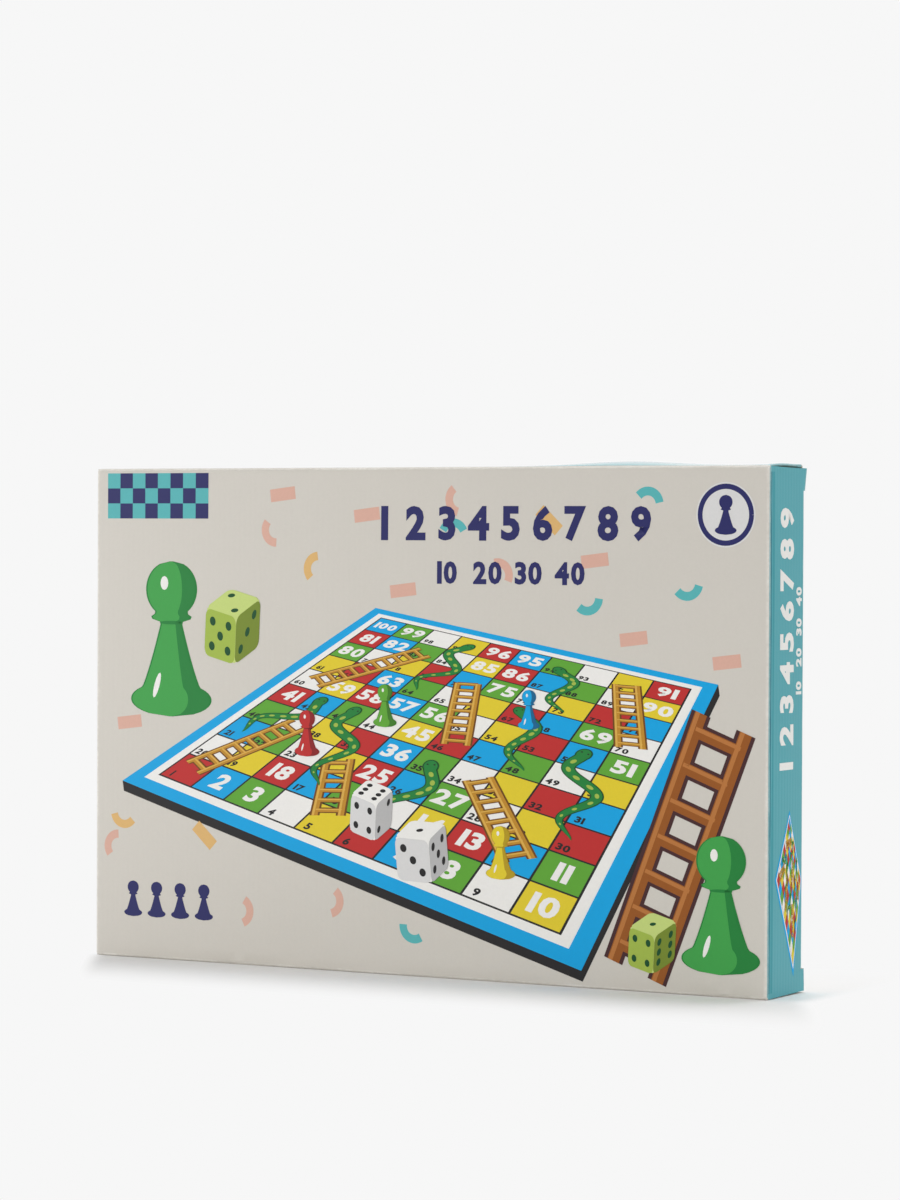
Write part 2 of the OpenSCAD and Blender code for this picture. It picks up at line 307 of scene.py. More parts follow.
def floor_material():
    """Matt white near the carton, the backdrop's tone beyond, by the distance past a slanted footprint."""
    material, tree, shader = new_material("pale_floor")
    set_inputs(tree, shader, {"Base Color": ranged(tree, noise(tree, FLOOR_GRAIN), *FLOOR_TONES),
                              "Roughness": FLOOR_ROUGH, "Specular IOR Level": 0.0})
    place = place_node(tree, "TexCoord").outputs["Object"]
    x, y, _ = place_node(tree, "SeparateXYZ", {0: place}).outputs
    ahead = calc(tree, "MINIMUM", calc(tree, "SUBTRACT", y, front_y * MM), 0.0)
    slid = calc(tree, "ADD", x, calc(tree, "MULTIPLY", ahead, SHADOW_SLANT))
    slid = calc(tree, "SUBTRACT", slid, SHADOW_SHIFT)
    away = vector_calc(tree, "ABSOLUTE", place_node(tree, "CombineXYZ", {0: slid, 1: y}).outputs[0])
    away = vector_calc(tree, "SUBTRACT", away, (end_x * MM, back_y * MM, 0))
    away = vector_calc(tree, "MULTIPLY", vector_calc(tree, "MAXIMUM", away), SHADOW_SHAPE)
    away = place_node(tree, "VectorMath", {0: away}, operation="LENGTH").outputs["Value"]
    fade = place_node(tree, "MapRange", {0: away, 1: SHADOW_NEAR, 2: SHADOW_FAR},
                      interpolation_type="SMOOTHSTEP")
    plain = calc(tree, "MULTIPLY", fade.outputs[0], seen_plainly(tree))
    glow = place_node(tree, "Emission", {"Color": pale_tone}).outputs[0]
    mixed = place_node(tree, "MixShader", {0: plain, 1: shader.outputs[0], 2: glow})
    set_inputs(tree, tree.nodes["Material Output"], {"Surface": mixed.outputs[0]})
    return material


radius, angle = np.meshgrid(np.geomspace(1.0, FLOOR_RADIUS / MM, FLOOR_RINGS),
                            np.linspace(0, 2 * np.pi, FLOOR_SPOKES, endpoint=False), indexing="ij")
disc = np.stack([radius * np.cos(angle), radius * np.sin(angle), np.zeros_like(radius)], axis=-1)
number = numbered(*radius.shape)
floor = add_piece("floor", None, disc.reshape(-1, 3), [quads(number, wrap_cols=True), number[:1]],
                  [floor_material()])

# %% [markdown]
# Board and paper share three effects, so each is a node group that is built once. Fibre gives a cloudy tone
# with fine flecks. Ripple is the washboard that the flutes press through the outer liner. Wear and highlight
# is a broken mask along folds and cut edges, from the closeness that each piece stores in its points. On the
# beige folds, its pale colour is partly wear and partly a painted highlight.

# %% Shared effects: fibre, ripple, and wear with a painted fold highlight
CLOUD_SCALE, FLECK_SCALE, SCUFF_SCALE, PATCH_SCALE = 16.0, 850.0, 420.0, 45.0
WEAR_AND_HIGHLIGHT_FROM, WEAR_AND_HIGHLIGHT_FULL = 0.03, 0.36


def new_group(name, inputs, outputs):
    """An empty node group with named float or vector inputs and float outputs, and its two end nodes."""
    group = bpy.data.node_groups.new(name, "ShaderNodeTree")
    for key, value in inputs.items():
        kind = "NodeSocketVector" if isinstance(value, tuple) else "NodeSocketFloat"
        group.interface.new_socket(name=key, in_out="INPUT", socket_type=kind).default_value = value
    for key in outputs:
        group.interface.new_socket(name=key, in_out="OUTPUT", socket_type="NodeSocketFloat")
    return group, group.nodes.new("NodeGroupInput").outputs, group.nodes.new("NodeGroupOutput")


def centred(tree, value, amount):
    """A noise value about nought, times an amount."""
    return calc(tree, "MULTIPLY", calc(tree, "SUBTRACT", value, 0.5), amount)


fibre, given, result = new_group("paper_fibre", {"Cloud": 0.02, "Fleck": 0.02}, ("Tone", "Height"))
fleck = noise(fibre, FLECK_SCALE, 4.0)
uneven = calc(fibre, "ADD", centred(fibre, noise(fibre, CLOUD_SCALE), given["Cloud"]),
              centred(fibre, fleck, given["Fleck"]))
set_inputs(fibre, result, {"Tone": calc(fibre, "ADD", uneven, 1.0), "Height": fleck})

ripple, given, result = new_group("flute_ripple", {"Across": (1.0, 0.0, 0.0)}, ("Height",))
place = place_node(ripple, "TexCoord").outputs["Object"]
phase = place_node(ripple, "VectorMath", {0: place, 1: given["Across"]}, operation="DOT_PRODUCT")
wave = calc(ripple, "SINE", calc(ripple, "MULTIPLY", phase.outputs["Value"], 2 * math.pi))
set_inputs(ripple, result, {"Height": calc(ripple, "ADD", calc(ripple, "MULTIPLY", wave, 0.5), 0.5)})

# The mask marks wear, and on the beige folds it also marks a painted highlight.
wear_and_highlight_edge, given, result = new_group("wear_and_highlight_edge", {"Amount": 0.5}, ("Mask",))
near = place_node(wear_and_highlight_edge, "Attribute", attribute_name="wear").outputs["Fac"]
broken = calc(wear_and_highlight_edge, "MULTIPLY", noise(wear_and_highlight_edge, SCUFF_SCALE, 5.0), noise(wear_and_highlight_edge, PATCH_SCALE))
scuff_and_highlight = calc(wear_and_highlight_edge, "MULTIPLY", calc(wear_and_highlight_edge, "MULTIPLY", broken, near), given["Amount"])
mask = place_node(wear_and_highlight_edge, "MapRange", {0: scuff_and_highlight, 1: WEAR_AND_HIGHLIGHT_FROM, 2: WEAR_AND_HIGHLIGHT_FULL})
set_inputs(wear_and_highlight_edge, result, {"Mask": mask.outputs[0]})
print("effects:", [g.name for g in bpy.data.node_groups])

# %% [markdown]
# Printed liner, bare kraft and plain card are the same recipe with other values: a colour times the fibre's
# tone, and a worn colour where the edge mask says so. On the beige folds, that worn colour is also a painted
# highlight. The rest is a roughness that follows the fibre, and a bump from fibre and ripple.

# %% Board materials
FLUTE_PITCH = 3.2
ROUGH_RANGE, FIBRE_SHARE, BUMP_DISTANCE = 0.08, 0.35, 0.0004
GLOSSY_COAT, DULL_COAT, GLOSSY_FROM = 0.12, 0.3, 0.5
ACROSS_X, ACROSS_Y, ACROSS_Z, NO_FLUTES = (1.0, 0.0, 0.0), (0.0, 1.0, 0.0), (0.0, 0.0, 1.0), (0.0, 0.0, 0.0)


def toned(tree, shade, cloud, fleck):
    """A screen colour times the fibre's tone, and the fibre's height."""
    paper = place_node(tree, "Group", {"Cloud": cloud, "Fleck": fleck}, node_tree=fibre).outputs
    inked = place_node(tree, "VectorMath", {0: linear(shade), "Scale": paper["Tone"]}, operation="SCALE")
    return inked.outputs[0], paper["Height"]


def board_material(name, shade, wear_and_highlight_shade, across=NO_FLUTES, rough=0.5, cloud=0.03, fleck=0.05, wear=0.5,
                   depth=0.06, varnish=0.25, shine=0.35):
    """A liner: colour x tone, a worn colour on edges that is partly a painted highlight on the beige, fibre
    and flute bump under a thin varnish.
    """
    material, tree, shader = new_material(name)
    inked, fine = toned(tree, shade, cloud, fleck)
    edge = place_node(tree, "Group", {"Amount": wear}, node_tree=wear_and_highlight_edge).outputs["Mask"]
    waves = tuple(a / (FLUTE_PITCH * MM) for a in across)
    flutes = place_node(tree, "Group", {"Across": waves}, node_tree=ripple).outputs["Height"]
    height = calc(tree, "ADD", calc(tree, "MULTIPLY", fine, FIBRE_SHARE), flutes)
    bump = place_node(tree, "Bump", {"Height": height, "Strength": depth, "Distance": BUMP_DISTANCE})
    set_inputs(tree, shader, {"Base Color": blend(tree, edge, inked, wear_and_highlight_shade),
                              "Roughness": ranged(tree, fine, rough - ROUGH_RANGE, rough + ROUGH_RANGE),
                              "Normal": bump.outputs[0], "Specular IOR Level": shine, "Coat Weight": varnish,
                              "Coat Roughness": GLOSSY_COAT if varnish > GLOSSY_FROM else DULL_COAT})
    return material


# The beige's pale worn colour is partly wear and partly a painted highlight along its folds.
beige_liner = board_material("beige_liner", "#d2cdc4", "#f0ede6", ACROSS_X, wear=0.7, varnish=0.08,
                             shine=0.25)
teal_top = board_material("teal_top", "#4ea8b1", "#a9cfd2", ACROSS_X, rough=0.35, varnish=1.0)
teal_end = board_material("teal_end", "#48a2ac", "#b9cfcc", ACROSS_Y, wear=0.9, depth=0.10)
kraft = board_material("kraft_liner", "#a98456", "#c2a177", ACROSS_X, rough=0.8, cloud=0.10, fleck=0.35,
                       depth=0.12, varnish=0.0)
print("board materials:", [m.name for m in (beige_liner, teal_top, teal_end, kraft)])

# %% [markdown]
# The tube is the heart of the carton: front, top, back and bottom are one sheet with four rounded folds. A
# box with bevelled edges would lose the wall and the creases, so the sheet is a closed loop of depth and
# height, carried along the carton, with a wall section that goes out along the outside and comes back along
# the inside. Panels of such board are never quite flat: the front swells a little, the top bulges near its
# right end, and that end springs up.

# %% Folded tube: its line and its swellings
FOLD_R = 1.8
FRONT_SWELL, BACK_SWELL = 0.8, 0.5
TOP_BULGE, BULGE_X, BULGE_SPREAD, BULGE_LEAST = 2.3, 112.0, 38.0, 0.15
SPRING, SPRING_REACH, SPRING_DROP, SPRING_FULL = 1.3, 13.0, 30.0, 1.7
CRUSH, CRUSH_MEAN, CRUSH_LONG, CRUSH_SHORT = 0.55, 0.5, (0.3, 23.0), (0.2, 9.0)
SIDES = ("front", "front_top", "top", "top_back", "back", "back_bottom", "bottom", "bottom_front")
SIDE_STEPS = {"front": 44, "top": 12, "back": 44, "bottom": 12}
FOLD_STEPS, ALONG_STEPS, END_STEPS = 6, 72, 10


def panel_swell(high, x, z):
    """How far a wide panel stands out: a half wave along each side, so that the folds stay straight."""
    return high * np.cos(np.pi * x / (2 * end_x)) * np.sin(np.pi * z / carton_h)


def top_bulge(x, y):
    """A bell along the top with a half wave across it."""
    bell = BULGE_LEAST + np.exp(-((x - BULGE_X) / BULGE_SPREAD) ** 2)
    return TOP_BULGE * bell * np.sin(np.pi * (y - front_y) / (back_y - front_y))


def end_spring(x, y, z):
    """How far the top's right end springs up: fading along the top and down the back, nought in front."""
    deep = np.clip((y - front_y) / (back_y - front_y) * SPRING_FULL, 0, 1)
    along = SPRING * np.exp((x - end_x) / SPRING_REACH)
    return along * np.sin(np.pi / 2 * deep) * np.exp((z - carton_h) / SPRING_DROP)


def fold_crush(x):
    """How hard a lower fold is crushed along the carton: a mean with a long and a short wave on it."""
    (long, long_run), (short, short_run) = CRUSH_LONG, CRUSH_SHORT
    return CRUSH * (CRUSH_MEAN + long * np.sin(x / long_run) + short * np.sin(x / short_run + 1.0))


def tube_line():
    """Centre of the fold circle, direction from it to the skin, and side number, along the whole loop."""
    low_y, high_y, low_z, high_z = front_y + FOLD_R, back_y - FOLD_R, FOLD_R, carton_h - FOLD_R
    corners = np.array([[low_y, low_z], [low_y, high_z], [high_y, high_z], [high_y, low_z]])
    centre, turned, side = [], [], []
    for i, name in enumerate(SIDES):
        steps = SIDE_STEPS.get(name, FOLD_STEPS)
        t = np.arange(steps) / steps
        finish = corners[(i // 2 + 1) % 4]
        start = finish if i % 2 else corners[i // 2]
        centre.append(start + t[:, None] * (finish - start))
        turned.append(np.pi - (i // 2) * np.pi / 2 - (i % 2) * t * np.pi / 2)
        side.append(np.full(steps, i))
    return np.vstack(centre), np.concatenate(turned), np.concatenate(side)


centre, turned, side = tube_line()
skin = unit_at(turned)
loop_length = np.linalg.norm(np.diff(centre + FOLD_R * skin, axis=0), axis=1).sum()
print("points round the tube:", len(side), "length", round(float(loop_length), 1), "mm")

# %% [markdown]
# Each panel of the tube ends at its own line: the front at the closures' creases, the top and bottom at the
# dust flaps' creases, the back at a plain cut. Creased ends are half round, because the sheet bends there.
# Where the top has sprung up, its end is drawn in a little, so that the dust flap can swing up under it.

# %% Folded tube: its surface
FRONT, TOP, BACK, LOWER_FOLD = 0, 2, 4, 7
END_COLUMNS = np.array([0.3, 0.8, 1.6])
DRAWN_IN, DRAWN_FROM = 0.5, 0.4
ends = np.array([hinge_x, hinge_x, dust_x, body_end_x, body_end_x, body_end_x, dust_x, hinge_x])
roundness = np.array([1.0, 1.0, 1.0, 0.0, 0.0, 0.0, 1.0, 1.0])
sweep = np.linspace(0, np.pi, END_STEPS)[1:-1]
near_end = 1 - END_COLUMNS / end_x
run = np.sort(np.concatenate([np.linspace(-1, 1, ALONG_STEPS), near_end, -near_end]))
along = np.concatenate([run, np.ones(len(sweep)), -run, -np.ones(len(sweep))])
beyond = np.concatenate([0 * run, np.sin(sweep), 0 * run, -np.sin(sweep)])
depth = np.concatenate([0 * run, half_wall * (1 - np.cos(sweep)),
                        0 * run + wall, half_wall * (1 + np.cos(sweep))])

x = along * ends[side][:, None] + half_wall * beyond * roundness[side][:, None]
yz = centre[:, None] + (FOLD_R - depth)[None, :, None] * skin[:, None]
swell = np.select([(side == i)[:, None] for i in (FRONT, TOP, BACK)],
                  [panel_swell(FRONT_SWELL, x, yz[..., 1]), top_bulge(x, yz[..., 0]),
                   panel_swell(BACK_SWELL, x, yz[..., 1])], 0.0)
in_fold = np.where(side % 2 == 1, np.sin(2 * (turned % (np.pi / 2))), 0.0)
crush = fold_crush(x) * (in_fold * (side > BACK))[:, None]
yz = yz + (swell - crush)[..., None] * skin[:, None]
sprung = end_spring(x, yz[..., 0], yz[..., 1])
yz[..., 1] += sprung
x = x - np.where((side == TOP)[:, None], DRAWN_IN * np.clip(sprung / DRAWN_FROM, 0, 1), 0)
tube = np.concatenate([x[..., None], yz], axis=-1)
points = tube.reshape(-1, 3)
print("tube box in mm:", points.min(axis=0).round(2), points.max(axis=0).round(2))

# %% [markdown]
# The print stops at the folds: beige on front and back, teal on the narrow sides, bare kraft inside. Each
# face gets its colour from the side and the part of the wall section that it lies on, and wear grows
# towards folds and ends. Along the folds, the pale mark is also a painted highlight. On the lower fold it is
# lightest where the fold turns to the front.

# %% Folded tube: colours and piece
BEIGE, TEAL, KRAFT = 0, 1, 2
END_WEAR = 0.7
TEAL_TURN, BARE_TURN, TOP_BARE_TURN, CUT_TURN = 1.0, 1.9, 2.7, 0.1
side_ink = np.array([BEIGE, BEIGE, TEAL, BEIGE, BEIGE, BEIGE, TEAL, BEIGE])
turn_at = np.concatenate([0 * run, sweep, 0 * run + np.pi, np.pi - sweep])
end_turn = ((turn_at + np.roll(turn_at, -1)) / 2)[None, :]
bare_from = np.where(side == TOP, TOP_BARE_TURN, BARE_TURN)[:, None]
cut_end = (end_turn > CUT_TURN) & (side == BACK)[:, None]
face_ink = np.where(end_turn > TEAL_TURN, TEAL, side_ink[side][:, None])
face_ink = np.where((end_turn > bare_from) | cut_end, KRAFT, face_ink)
to_end = ends[side][:, None] - np.abs(x)
# Along the folds the pale mark is wear and painted highlight; the lower fold's is lightest towards the front.
lower_fold_highlight = np.sin(np.pi * np.clip(-2 * turned / np.pi - 1, 0, 1) ** 2)
fold_wear_and_highlight = np.where(side == LOWER_FOLD, lower_fold_highlight, in_fold ** 2)
closeness = np.maximum(fold_wear_and_highlight[:, None], np.exp(-np.maximum(to_end, 0) / END_WEAR))
add_piece("carton_tube", "carton", points, outward(points, [quads(numbered(*x.shape), True, True)]),
          [beige_liner, teal_top, kraft], face_ink.ravel(), {"wear": closeness.ravel()}, "printed_liner",
          ("front_panel", "back_panel", "top_panel", "bottom_panel"))

# %% [markdown]
# Closures, tuck flaps and dust flaps show their cut edges, so they are built as corrugated board is: an
# outer liner, a fluted sheet and an inner liner. Each layer is a slab between two grids of points. The
# fluted sheet follows a sine across the flutes, and its ends show as the fine waves of a cut edge.

# %% Corrugated sheet
LINER_T, FLUTE_T = 0.28, 0.22
FLUTE_HIGH = (wall - 2 * LINER_T - FLUTE_T) / 2
FLUTE_STEPS, COARSE_STEP = 12, 2
RIM_COLUMNS = np.array([0.25, 0.6, 1.2])


def slab(top, bottom):
    """Two matching grids closed into a thin solid: upper faces, lower faces turned round, and a rim strip."""
    number = numbered(*top.shape[:2])
    points = np.concatenate([top.reshape(-1, 3), bottom.reshape(-1, 3)])
    upper = quads(number)
    rim = np.concatenate([number[0, :-1], number[:-1, -1], number[-1, :0:-1], number[:0:-1, 0]])
    after = np.roll(rim, -1)
    walls = np.column_stack([after, rim, rim + number.size, after + number.size])
    faces = np.vstack([upper, upper[:, ::-1] + number.size, walls])
    kind = np.repeat([0, 1, 2], [len(upper), len(upper), len(walls)])
    return points, outward(points, [faces]), kind


def corrugated(name, at, run_length, rows, slot):
    """Three slabs from one map at(share across the flutes, row, depth): liner, sine-fluted sheet, liner."""
    fine = np.linspace(0, 1, max(int(run_length / FLUTE_PITCH * FLUTE_STEPS), 8))
    rim = RIM_COLUMNS / run_length
    coarse = np.linspace(0, 1, max(int(run_length / COARSE_STEP), 6))
    coarse = np.sort(np.concatenate([coarse, rim, 1 - rim]))
    middle = half_wall + FLUTE_HIGH * np.sin(2 * np.pi * fine * run_length / FLUTE_PITCH)
    layers = [(coarse, 0 * coarse, 0 * coarse + LINER_T, (0, 1, 1)),
              (fine, middle - FLUTE_T / 2, middle + FLUTE_T / 2, (1, 1, 1)),
              (coarse, 0 * coarse + wall - LINER_T, 0 * coarse + wall, (1, 1, 1))]
    parts, face_ink, wear = [], [], []
    for share, outer, inner, ink in layers:
        grid_share, grid_row = np.meshgrid(share, np.arange(rows), indexing="ij")
        sheets = [at(grid_share, grid_row, d[:, None] + 0 * grid_row) for d in (outer, inner)]
        shell, faces, kind = slab(*sheets)
        parts.append((shell, faces))
        face_ink.append(np.array(ink)[kind])
        reach = np.minimum(grid_share, 1 - grid_share) * run_length
        wear.append(np.tile(np.exp(-reach / END_WEAR).ravel(), 2))
    return add_piece(name + "_board", name, *joined(parts), [teal_end, kraft], np.concatenate(face_ink),
                     {"wear": np.concatenate(wear)}, slot, (name,))


def flipped(at, end=1, up=1):
    """The same map on the left end where end is -1, and turned over to the bottom where up is -1."""
    shift = np.array([0, 0, carton_h if up < 0 else 0])
    return lambda share, row, depth: shift + at(share, row, depth) * np.array([end, 1.0, up])


print(f"flutes {FLUTE_PITCH} mm apart, {2 * FLUTE_HIGH:.2f} mm high")

# %% [markdown]
# An end closure hangs on the front's crease and carries the tuck flap on its back edge. Two lock shoulders
# at the ends of that edge stand a little proud of the back. The front edge is hollow, so it turns round the
# front panel's half round end without touching it. Its corners reach up and down a little.

# %% End closures
CREASE_AIR = 0.06
SHOULDER_SHARES, SHOULDER_STEPS, EDGE_STEPS = (0.85, 0.4), 4, 34
CORNER_REACH, CORNER_FROM, CORNER_KEPT = 0.8, 110, 0.3
CLOSURE_SWELL = 0.35
ring = half_wall + CREASE_AIR
tuck_z0, tuck_z1 = tuck_low[2] - crease_gap, tuck_high[2] + crease_gap
closure_rows = np.concatenate([np.linspace(closure_low[2], tuck_z0, SHOULDER_STEPS),
                               np.linspace(tuck_z0, tuck_z1, EDGE_STEPS),
                               np.linspace(tuck_z1, closure_high[2], SHOULDER_STEPS)])
on_shoulder = np.repeat([True, False, True], [SHOULDER_STEPS, EDGE_STEPS, SHOULDER_STEPS])
to_tip = np.abs(np.clip(closure_rows, tuck_z0, tuck_z1) - closure_rows) / (tuck_z0 - closure_low[2])
least = np.where(closure_rows < carton_h / 2, *SHOULDER_SHARES)
shoulder_y = tuck_y + (closure_high[1] - tuck_y) * (least + (1 - least) * to_tip)
off_middle = closure_rows - carton_h / 2
corner_run = closure_high[2] - carton_h / 2 - CORNER_FROM
to_corner = np.clip((np.abs(off_middle) - CORNER_FROM) / corner_run, 0, 1) * np.sign(off_middle)


def end_swell(y, z):
    """Outward swell of an end: half waves over its depth and height."""
    across = np.clip((y - hinge_y) / (tuck_y - hinge_y), 0, 1)
    return CLOSURE_SWELL * np.sin(np.pi * across) * np.sin(np.pi * z / carton_h)


def closure_at(share, row, depth):
    """A point of the +X closure: from the hollow front edge to the half round or shouldered back edge."""
    off = half_wall - depth
    front_edge = hinge_y + np.sqrt(ring ** 2 - off ** 2)
    round_edge = tuck_y + np.sqrt(np.maximum(half_wall ** 2 - off ** 2, 0))
    back_edge = np.where(on_shoulder[row], shoulder_y[row], round_edge)
    y = front_edge + share * (back_edge - front_edge)
    reach = CORNER_KEPT + (1 - CORNER_KEPT) * (1 - share) ** 2
    z = closure_rows[row] + CORNER_REACH * to_corner[row] * reach
    return np.stack([end_x - depth + end_swell(y, z), y, z], axis=-1)


for name, at in (("right_closure", closure_at), ("left_closure", flipped(closure_at, -1))):
    corrugated(name, at, closure_high[1] - hinge_y, len(closure_rows), "teal_liner")

# %% [markdown]
# The tuck flap leans into the carton from the closure's back edge, with cut corners so that it finds its
# slot. It uses the closure's recipe in its own leaning axes: along the flap, and from its printed side to
# its bare side.

# %% Tuck flaps
TUCK_LEAN = math.radians(28)
TUCK_LENGTH, TUCK_CHAMFER, TUCK_MITRE, TUCK_STEPS = 13.0, 5.0, 1.5, 30
tuck_along = np.array([-math.cos(TUCK_LEAN), -math.sin(TUCK_LEAN)])
tuck_inward = np.array([math.sin(TUCK_LEAN), -math.cos(TUCK_LEAN)])
tuck_rows = np.linspace(0, 1, TUCK_STEPS)


def tuck_at(share, row, depth):
    """A point of the +X tuck flap: its root clears the crease's round, its tip is cut at both corners."""
    off = depth - half_wall
    root = np.where(off > 0, ring + (TUCK_MITRE - ring) * off / half_wall, np.sqrt(ring ** 2 - off ** 2))
    out = root + share * (TUCK_LENGTH - root)
    cut = np.maximum(out - (TUCK_LENGTH - TUCK_CHAMFER), 0)
    z = tuck_low[2] + cut + tuck_rows[row] * (tuck_high[2] - tuck_low[2] - 2 * cut)
    flat = np.array([hinge_x, tuck_y]) + out[..., None] * tuck_along + off[..., None] * tuck_inward
    return np.concatenate([flat, z[..., None]], axis=-1)


for name, at in (("right_tuck_flap", tuck_at), ("left_tuck_flap", flipped(tuck_at, -1))):
    corrugated(name, at, TUCK_LENGTH, len(tuck_rows), "teal_liner")

# %% [markdown]
# Dust flaps fold in from the top and bottom panels. Here the flutes run across the flap, so the share goes
# down from the crease and the rows go across. The front edge slopes to clear the swinging closure.

# %% Dust flaps
DUST_TAPER, DUST_CHAMFER, DUST_STEPS = 12.0, 3.0, 16
dust_rows = np.linspace(0, 1, DUST_STEPS)


def dust_at(share, row, depth):
    """A point of the upper +X dust flap: down from the crease, between a sloping front and a cut corner."""
    off = half_wall - depth
    root = dust_z - np.sqrt(ring ** 2 - off ** 2)
    z = root + share * (dust_low[2] - root)
    down = (dust_z - z) / (dust_z - dust_low[2])
    front_edge = dust_low[1] + DUST_TAPER * down
    back_edge = dust_high[1] - np.maximum(dust_low[2] + DUST_CHAMFER - z, 0)
    y = front_edge + dust_rows[row] * (back_edge - front_edge)
    return np.stack([dust_x + off, y, z], axis=-1)


for side_name, end in (("right", 1), ("left", -1)):
    for level_name, up in (("upper", 1), ("lower", -1)):
        corrugated(f"{side_name}_{level_name}_dust_flap", flipped(dust_at, end, up),
                   dust_high[2] - dust_low[2], len(dust_rows), "kraft_liner")

# %% [markdown]
# The print is a film of ink on the liner. It could be an image, but drawn shapes stay sharp at any distance
# and need no file. Each shape is a flat outline in millimetres on its sheet, with an ink and a level, and
# becomes a closed film a few hundredths of a millimetre high, so later inks lie on earlier ones as they do
# in a press.

# %% Ink
INK_STEP, INK_SINK = 0.03, 0.02
# The last two teals are painted shade along the ends' creases; all other inks are print.
INKS = {"navy": "#262760", "teal_ink": "#58b4b6", "peach": "#dbae9d", "tan": "#deb473", "sky_blue": "#00a4e2",
        "red": "#be2c2b", "yellow": "#e3cc2e", "green": "#5fa534", "white": "#f1efeb", "black": "#1f1d1e",
        "snake_green": "#1f7f38", "leaf_green": "#3fa04a", "lime": "#a3ba4c", "deep_green": "#0f4a24",
        "ochre": "#c08a2a", "ochre_dark": "#6d4413", "ochre_light": "#dcae4e", "brown": "#96551c",
        "brown_dark": "#432426", "brown_light": "#b8753a", "lime_dark": "#76892c", "pale_lime": "#c6d77e",
        "grey": "#b9b8b8", "pale_grey": "#dcdbda", "red_dark": "#8a1d1f", "blue_dark": "#12648f",
        "yellow_dark": "#b5981b", "green_dark": "#3d7a22", "deep_teal": "#1f7284", "mid_teal": "#419aa4"}
inks = {name: board_material(name, shade, shade, rough=0.5, cloud=0.05, fleck=0.08, wear=0.0, depth=0.03,
                             varnish=0.0, shine=0.2) for name, shade in INKS.items()}


def film(shape, on_sheet):
    """A shape as a closed film: its outline at its level, a copy under the skin, walls at open edges."""
    flat, faces, ink, level = shape
    area = sum(np.cross(flat[g[:, 1]] - flat[g[:, 0]], flat[g[:, 2]] - flat[g[:, 1]]).sum() for g in faces)
    faces = faces if area > 0 else [g[:, ::-1] for g in faces]
    count = len(flat)
    points = np.vstack([on_sheet(flat, level * INK_STEP), on_sheet(flat, -INK_SINK)])
    edges = np.vstack([np.stack([g, np.roll(g, -1, axis=1)], axis=-1).reshape(-1, 2) for g in faces])
    lone = ~np.isin(edges[:, 0] * count + edges[:, 1], edges[:, 1] * count + edges[:, 0])
    a, b = edges[lone].T
    walls = np.column_stack([b, a, a + count, b + count])
    return points, faces + [g[:, ::-1] + count for g in faces] + [walls]


def print_piece(name, body, shapes, on_sheet):
    """All shapes of one print as one piece that wears their inks."""
    names = sorted({shape[2] for shape in shapes})
    films = [film(shape, on_sheet) for shape in shapes]
    face_ink = [np.full(len(group), names.index(shape[2])) for shape, (_, faces) in zip(shapes, films)
                for group in faces]
    return add_piece(name, body, *joined(films), [inks[n] for n in names], np.concatenate(face_ink))


print(len(inks), "inks")

# %% [markdown]
# A few outlines make every motif. A ribbon follows a path with a width at each point, and gives ladders and
# snakes. An upright has its width to the right and left of a standing axis, and gives pawns. An oval, a
# tilted box, a tile with round corners and a piece of a ring do the rest.

# %% Outlines
def band(one, other, ink, level):
    """Quads between two lines of matching points."""
    return np.vstack([one, other]), [quads(numbered(2, len(one)))], ink, level


def ribbon(path, half_width, ink, level):
    """The band between two lines beside a path, each half a width away along the path's normal."""
    path, half_width = np.asarray(path, float), np.broadcast_to(half_width, len(path))
    along = np.gradient(path, axis=0)
    along /= np.linalg.norm(along, axis=1, keepdims=True)
    normal = np.column_stack([-along[:, 1], along[:, 0]]) * half_width[:, None]
    return band(path - normal, path + normal, ink, level)


def upright(axis, half_width, ink, level):
    """The band between two lines that stand half a width to the right and to the left of an axis."""
    aside = np.column_stack([half_width, 0 * half_width])
    return band(axis + aside, axis - aside, ink, level)


def line(start, finish, half_width, ink, level, steps=6):
    """A straight ribbon in a few steps, so that it follows a swelling panel."""
    start, finish = np.asarray(start), np.asarray(finish)
    return ribbon(start + np.linspace(0, 1, steps)[:, None] * (finish - start), half_width, ink, level)


def oval(centre, radii, ink, level, steps=24, tilt=0.0):
    """One face round an ellipse: the centre plus radii times cosine and sine, turned by the tilt."""
    x, y = (radii * unit_at(2 * np.pi * np.arange(steps) / steps)).T
    spin = np.column_stack([x * np.cos(tilt) - y * np.sin(tilt), x * np.sin(tilt) + y * np.cos(tilt)])
    return np.asarray(centre) + spin, [numbered(1, steps)], ink, level


def arc_band(centre, inner, outer, start, finish, ink, level, steps=14):
    """A piece of a ring between two radii and two angles."""
    path = np.asarray(centre) + (inner + outer) / 2 * unit_at(np.linspace(start, finish, steps))
    return ribbon(path, (outer - inner) / 2, ink, level)


def tilted_box(centre, size, tilt, ink, level):
    """A rectangle of a size, turned about its centre."""
    along = unit_at(tilt) * size[0] / 2
    return line(np.asarray(centre) - along, np.asarray(centre) + along, size[1] / 2, ink, level, 3)


def rounded_tile(centre, size, radius, ink, level, steps=5):
    """One face round a square with round corners: a quarter circle about each inner corner."""
    turn = (np.arange(4)[:, None] + np.linspace(0, 1, steps)) * np.pi / 2
    corner = (size / 2 - radius) * np.sqrt(2) * unit_at(np.pi / 4 + np.arange(4) * np.pi / 2)
    rim = corner[:, None] + radius * unit_at(turn)
    return np.asarray(centre) + rim.reshape(-1, 2), [numbered(1, 4 * steps)], ink, level


def mapped(shapes, to_sheet):
    """The same shapes with their points moved by a map, such as the board's perspective."""
    return [(to_sheet(flat), faces, ink, level) for flat, faces, ink, level in shapes]


print("points of an oval:", len(oval((0, 0), (2, 1), "white", 1)[0]))

# %% [markdown]
# Digits come from Blender's own font. Each one is made once as a flat mesh and kept as arrays, then set
# into the hundred squares by the board's perspective, which a text object could not follow.

# %% Digits
DIGIT_WEIGHT, DIGIT_GAP, DIGIT_CURVE = 0.042, 0.10, 3


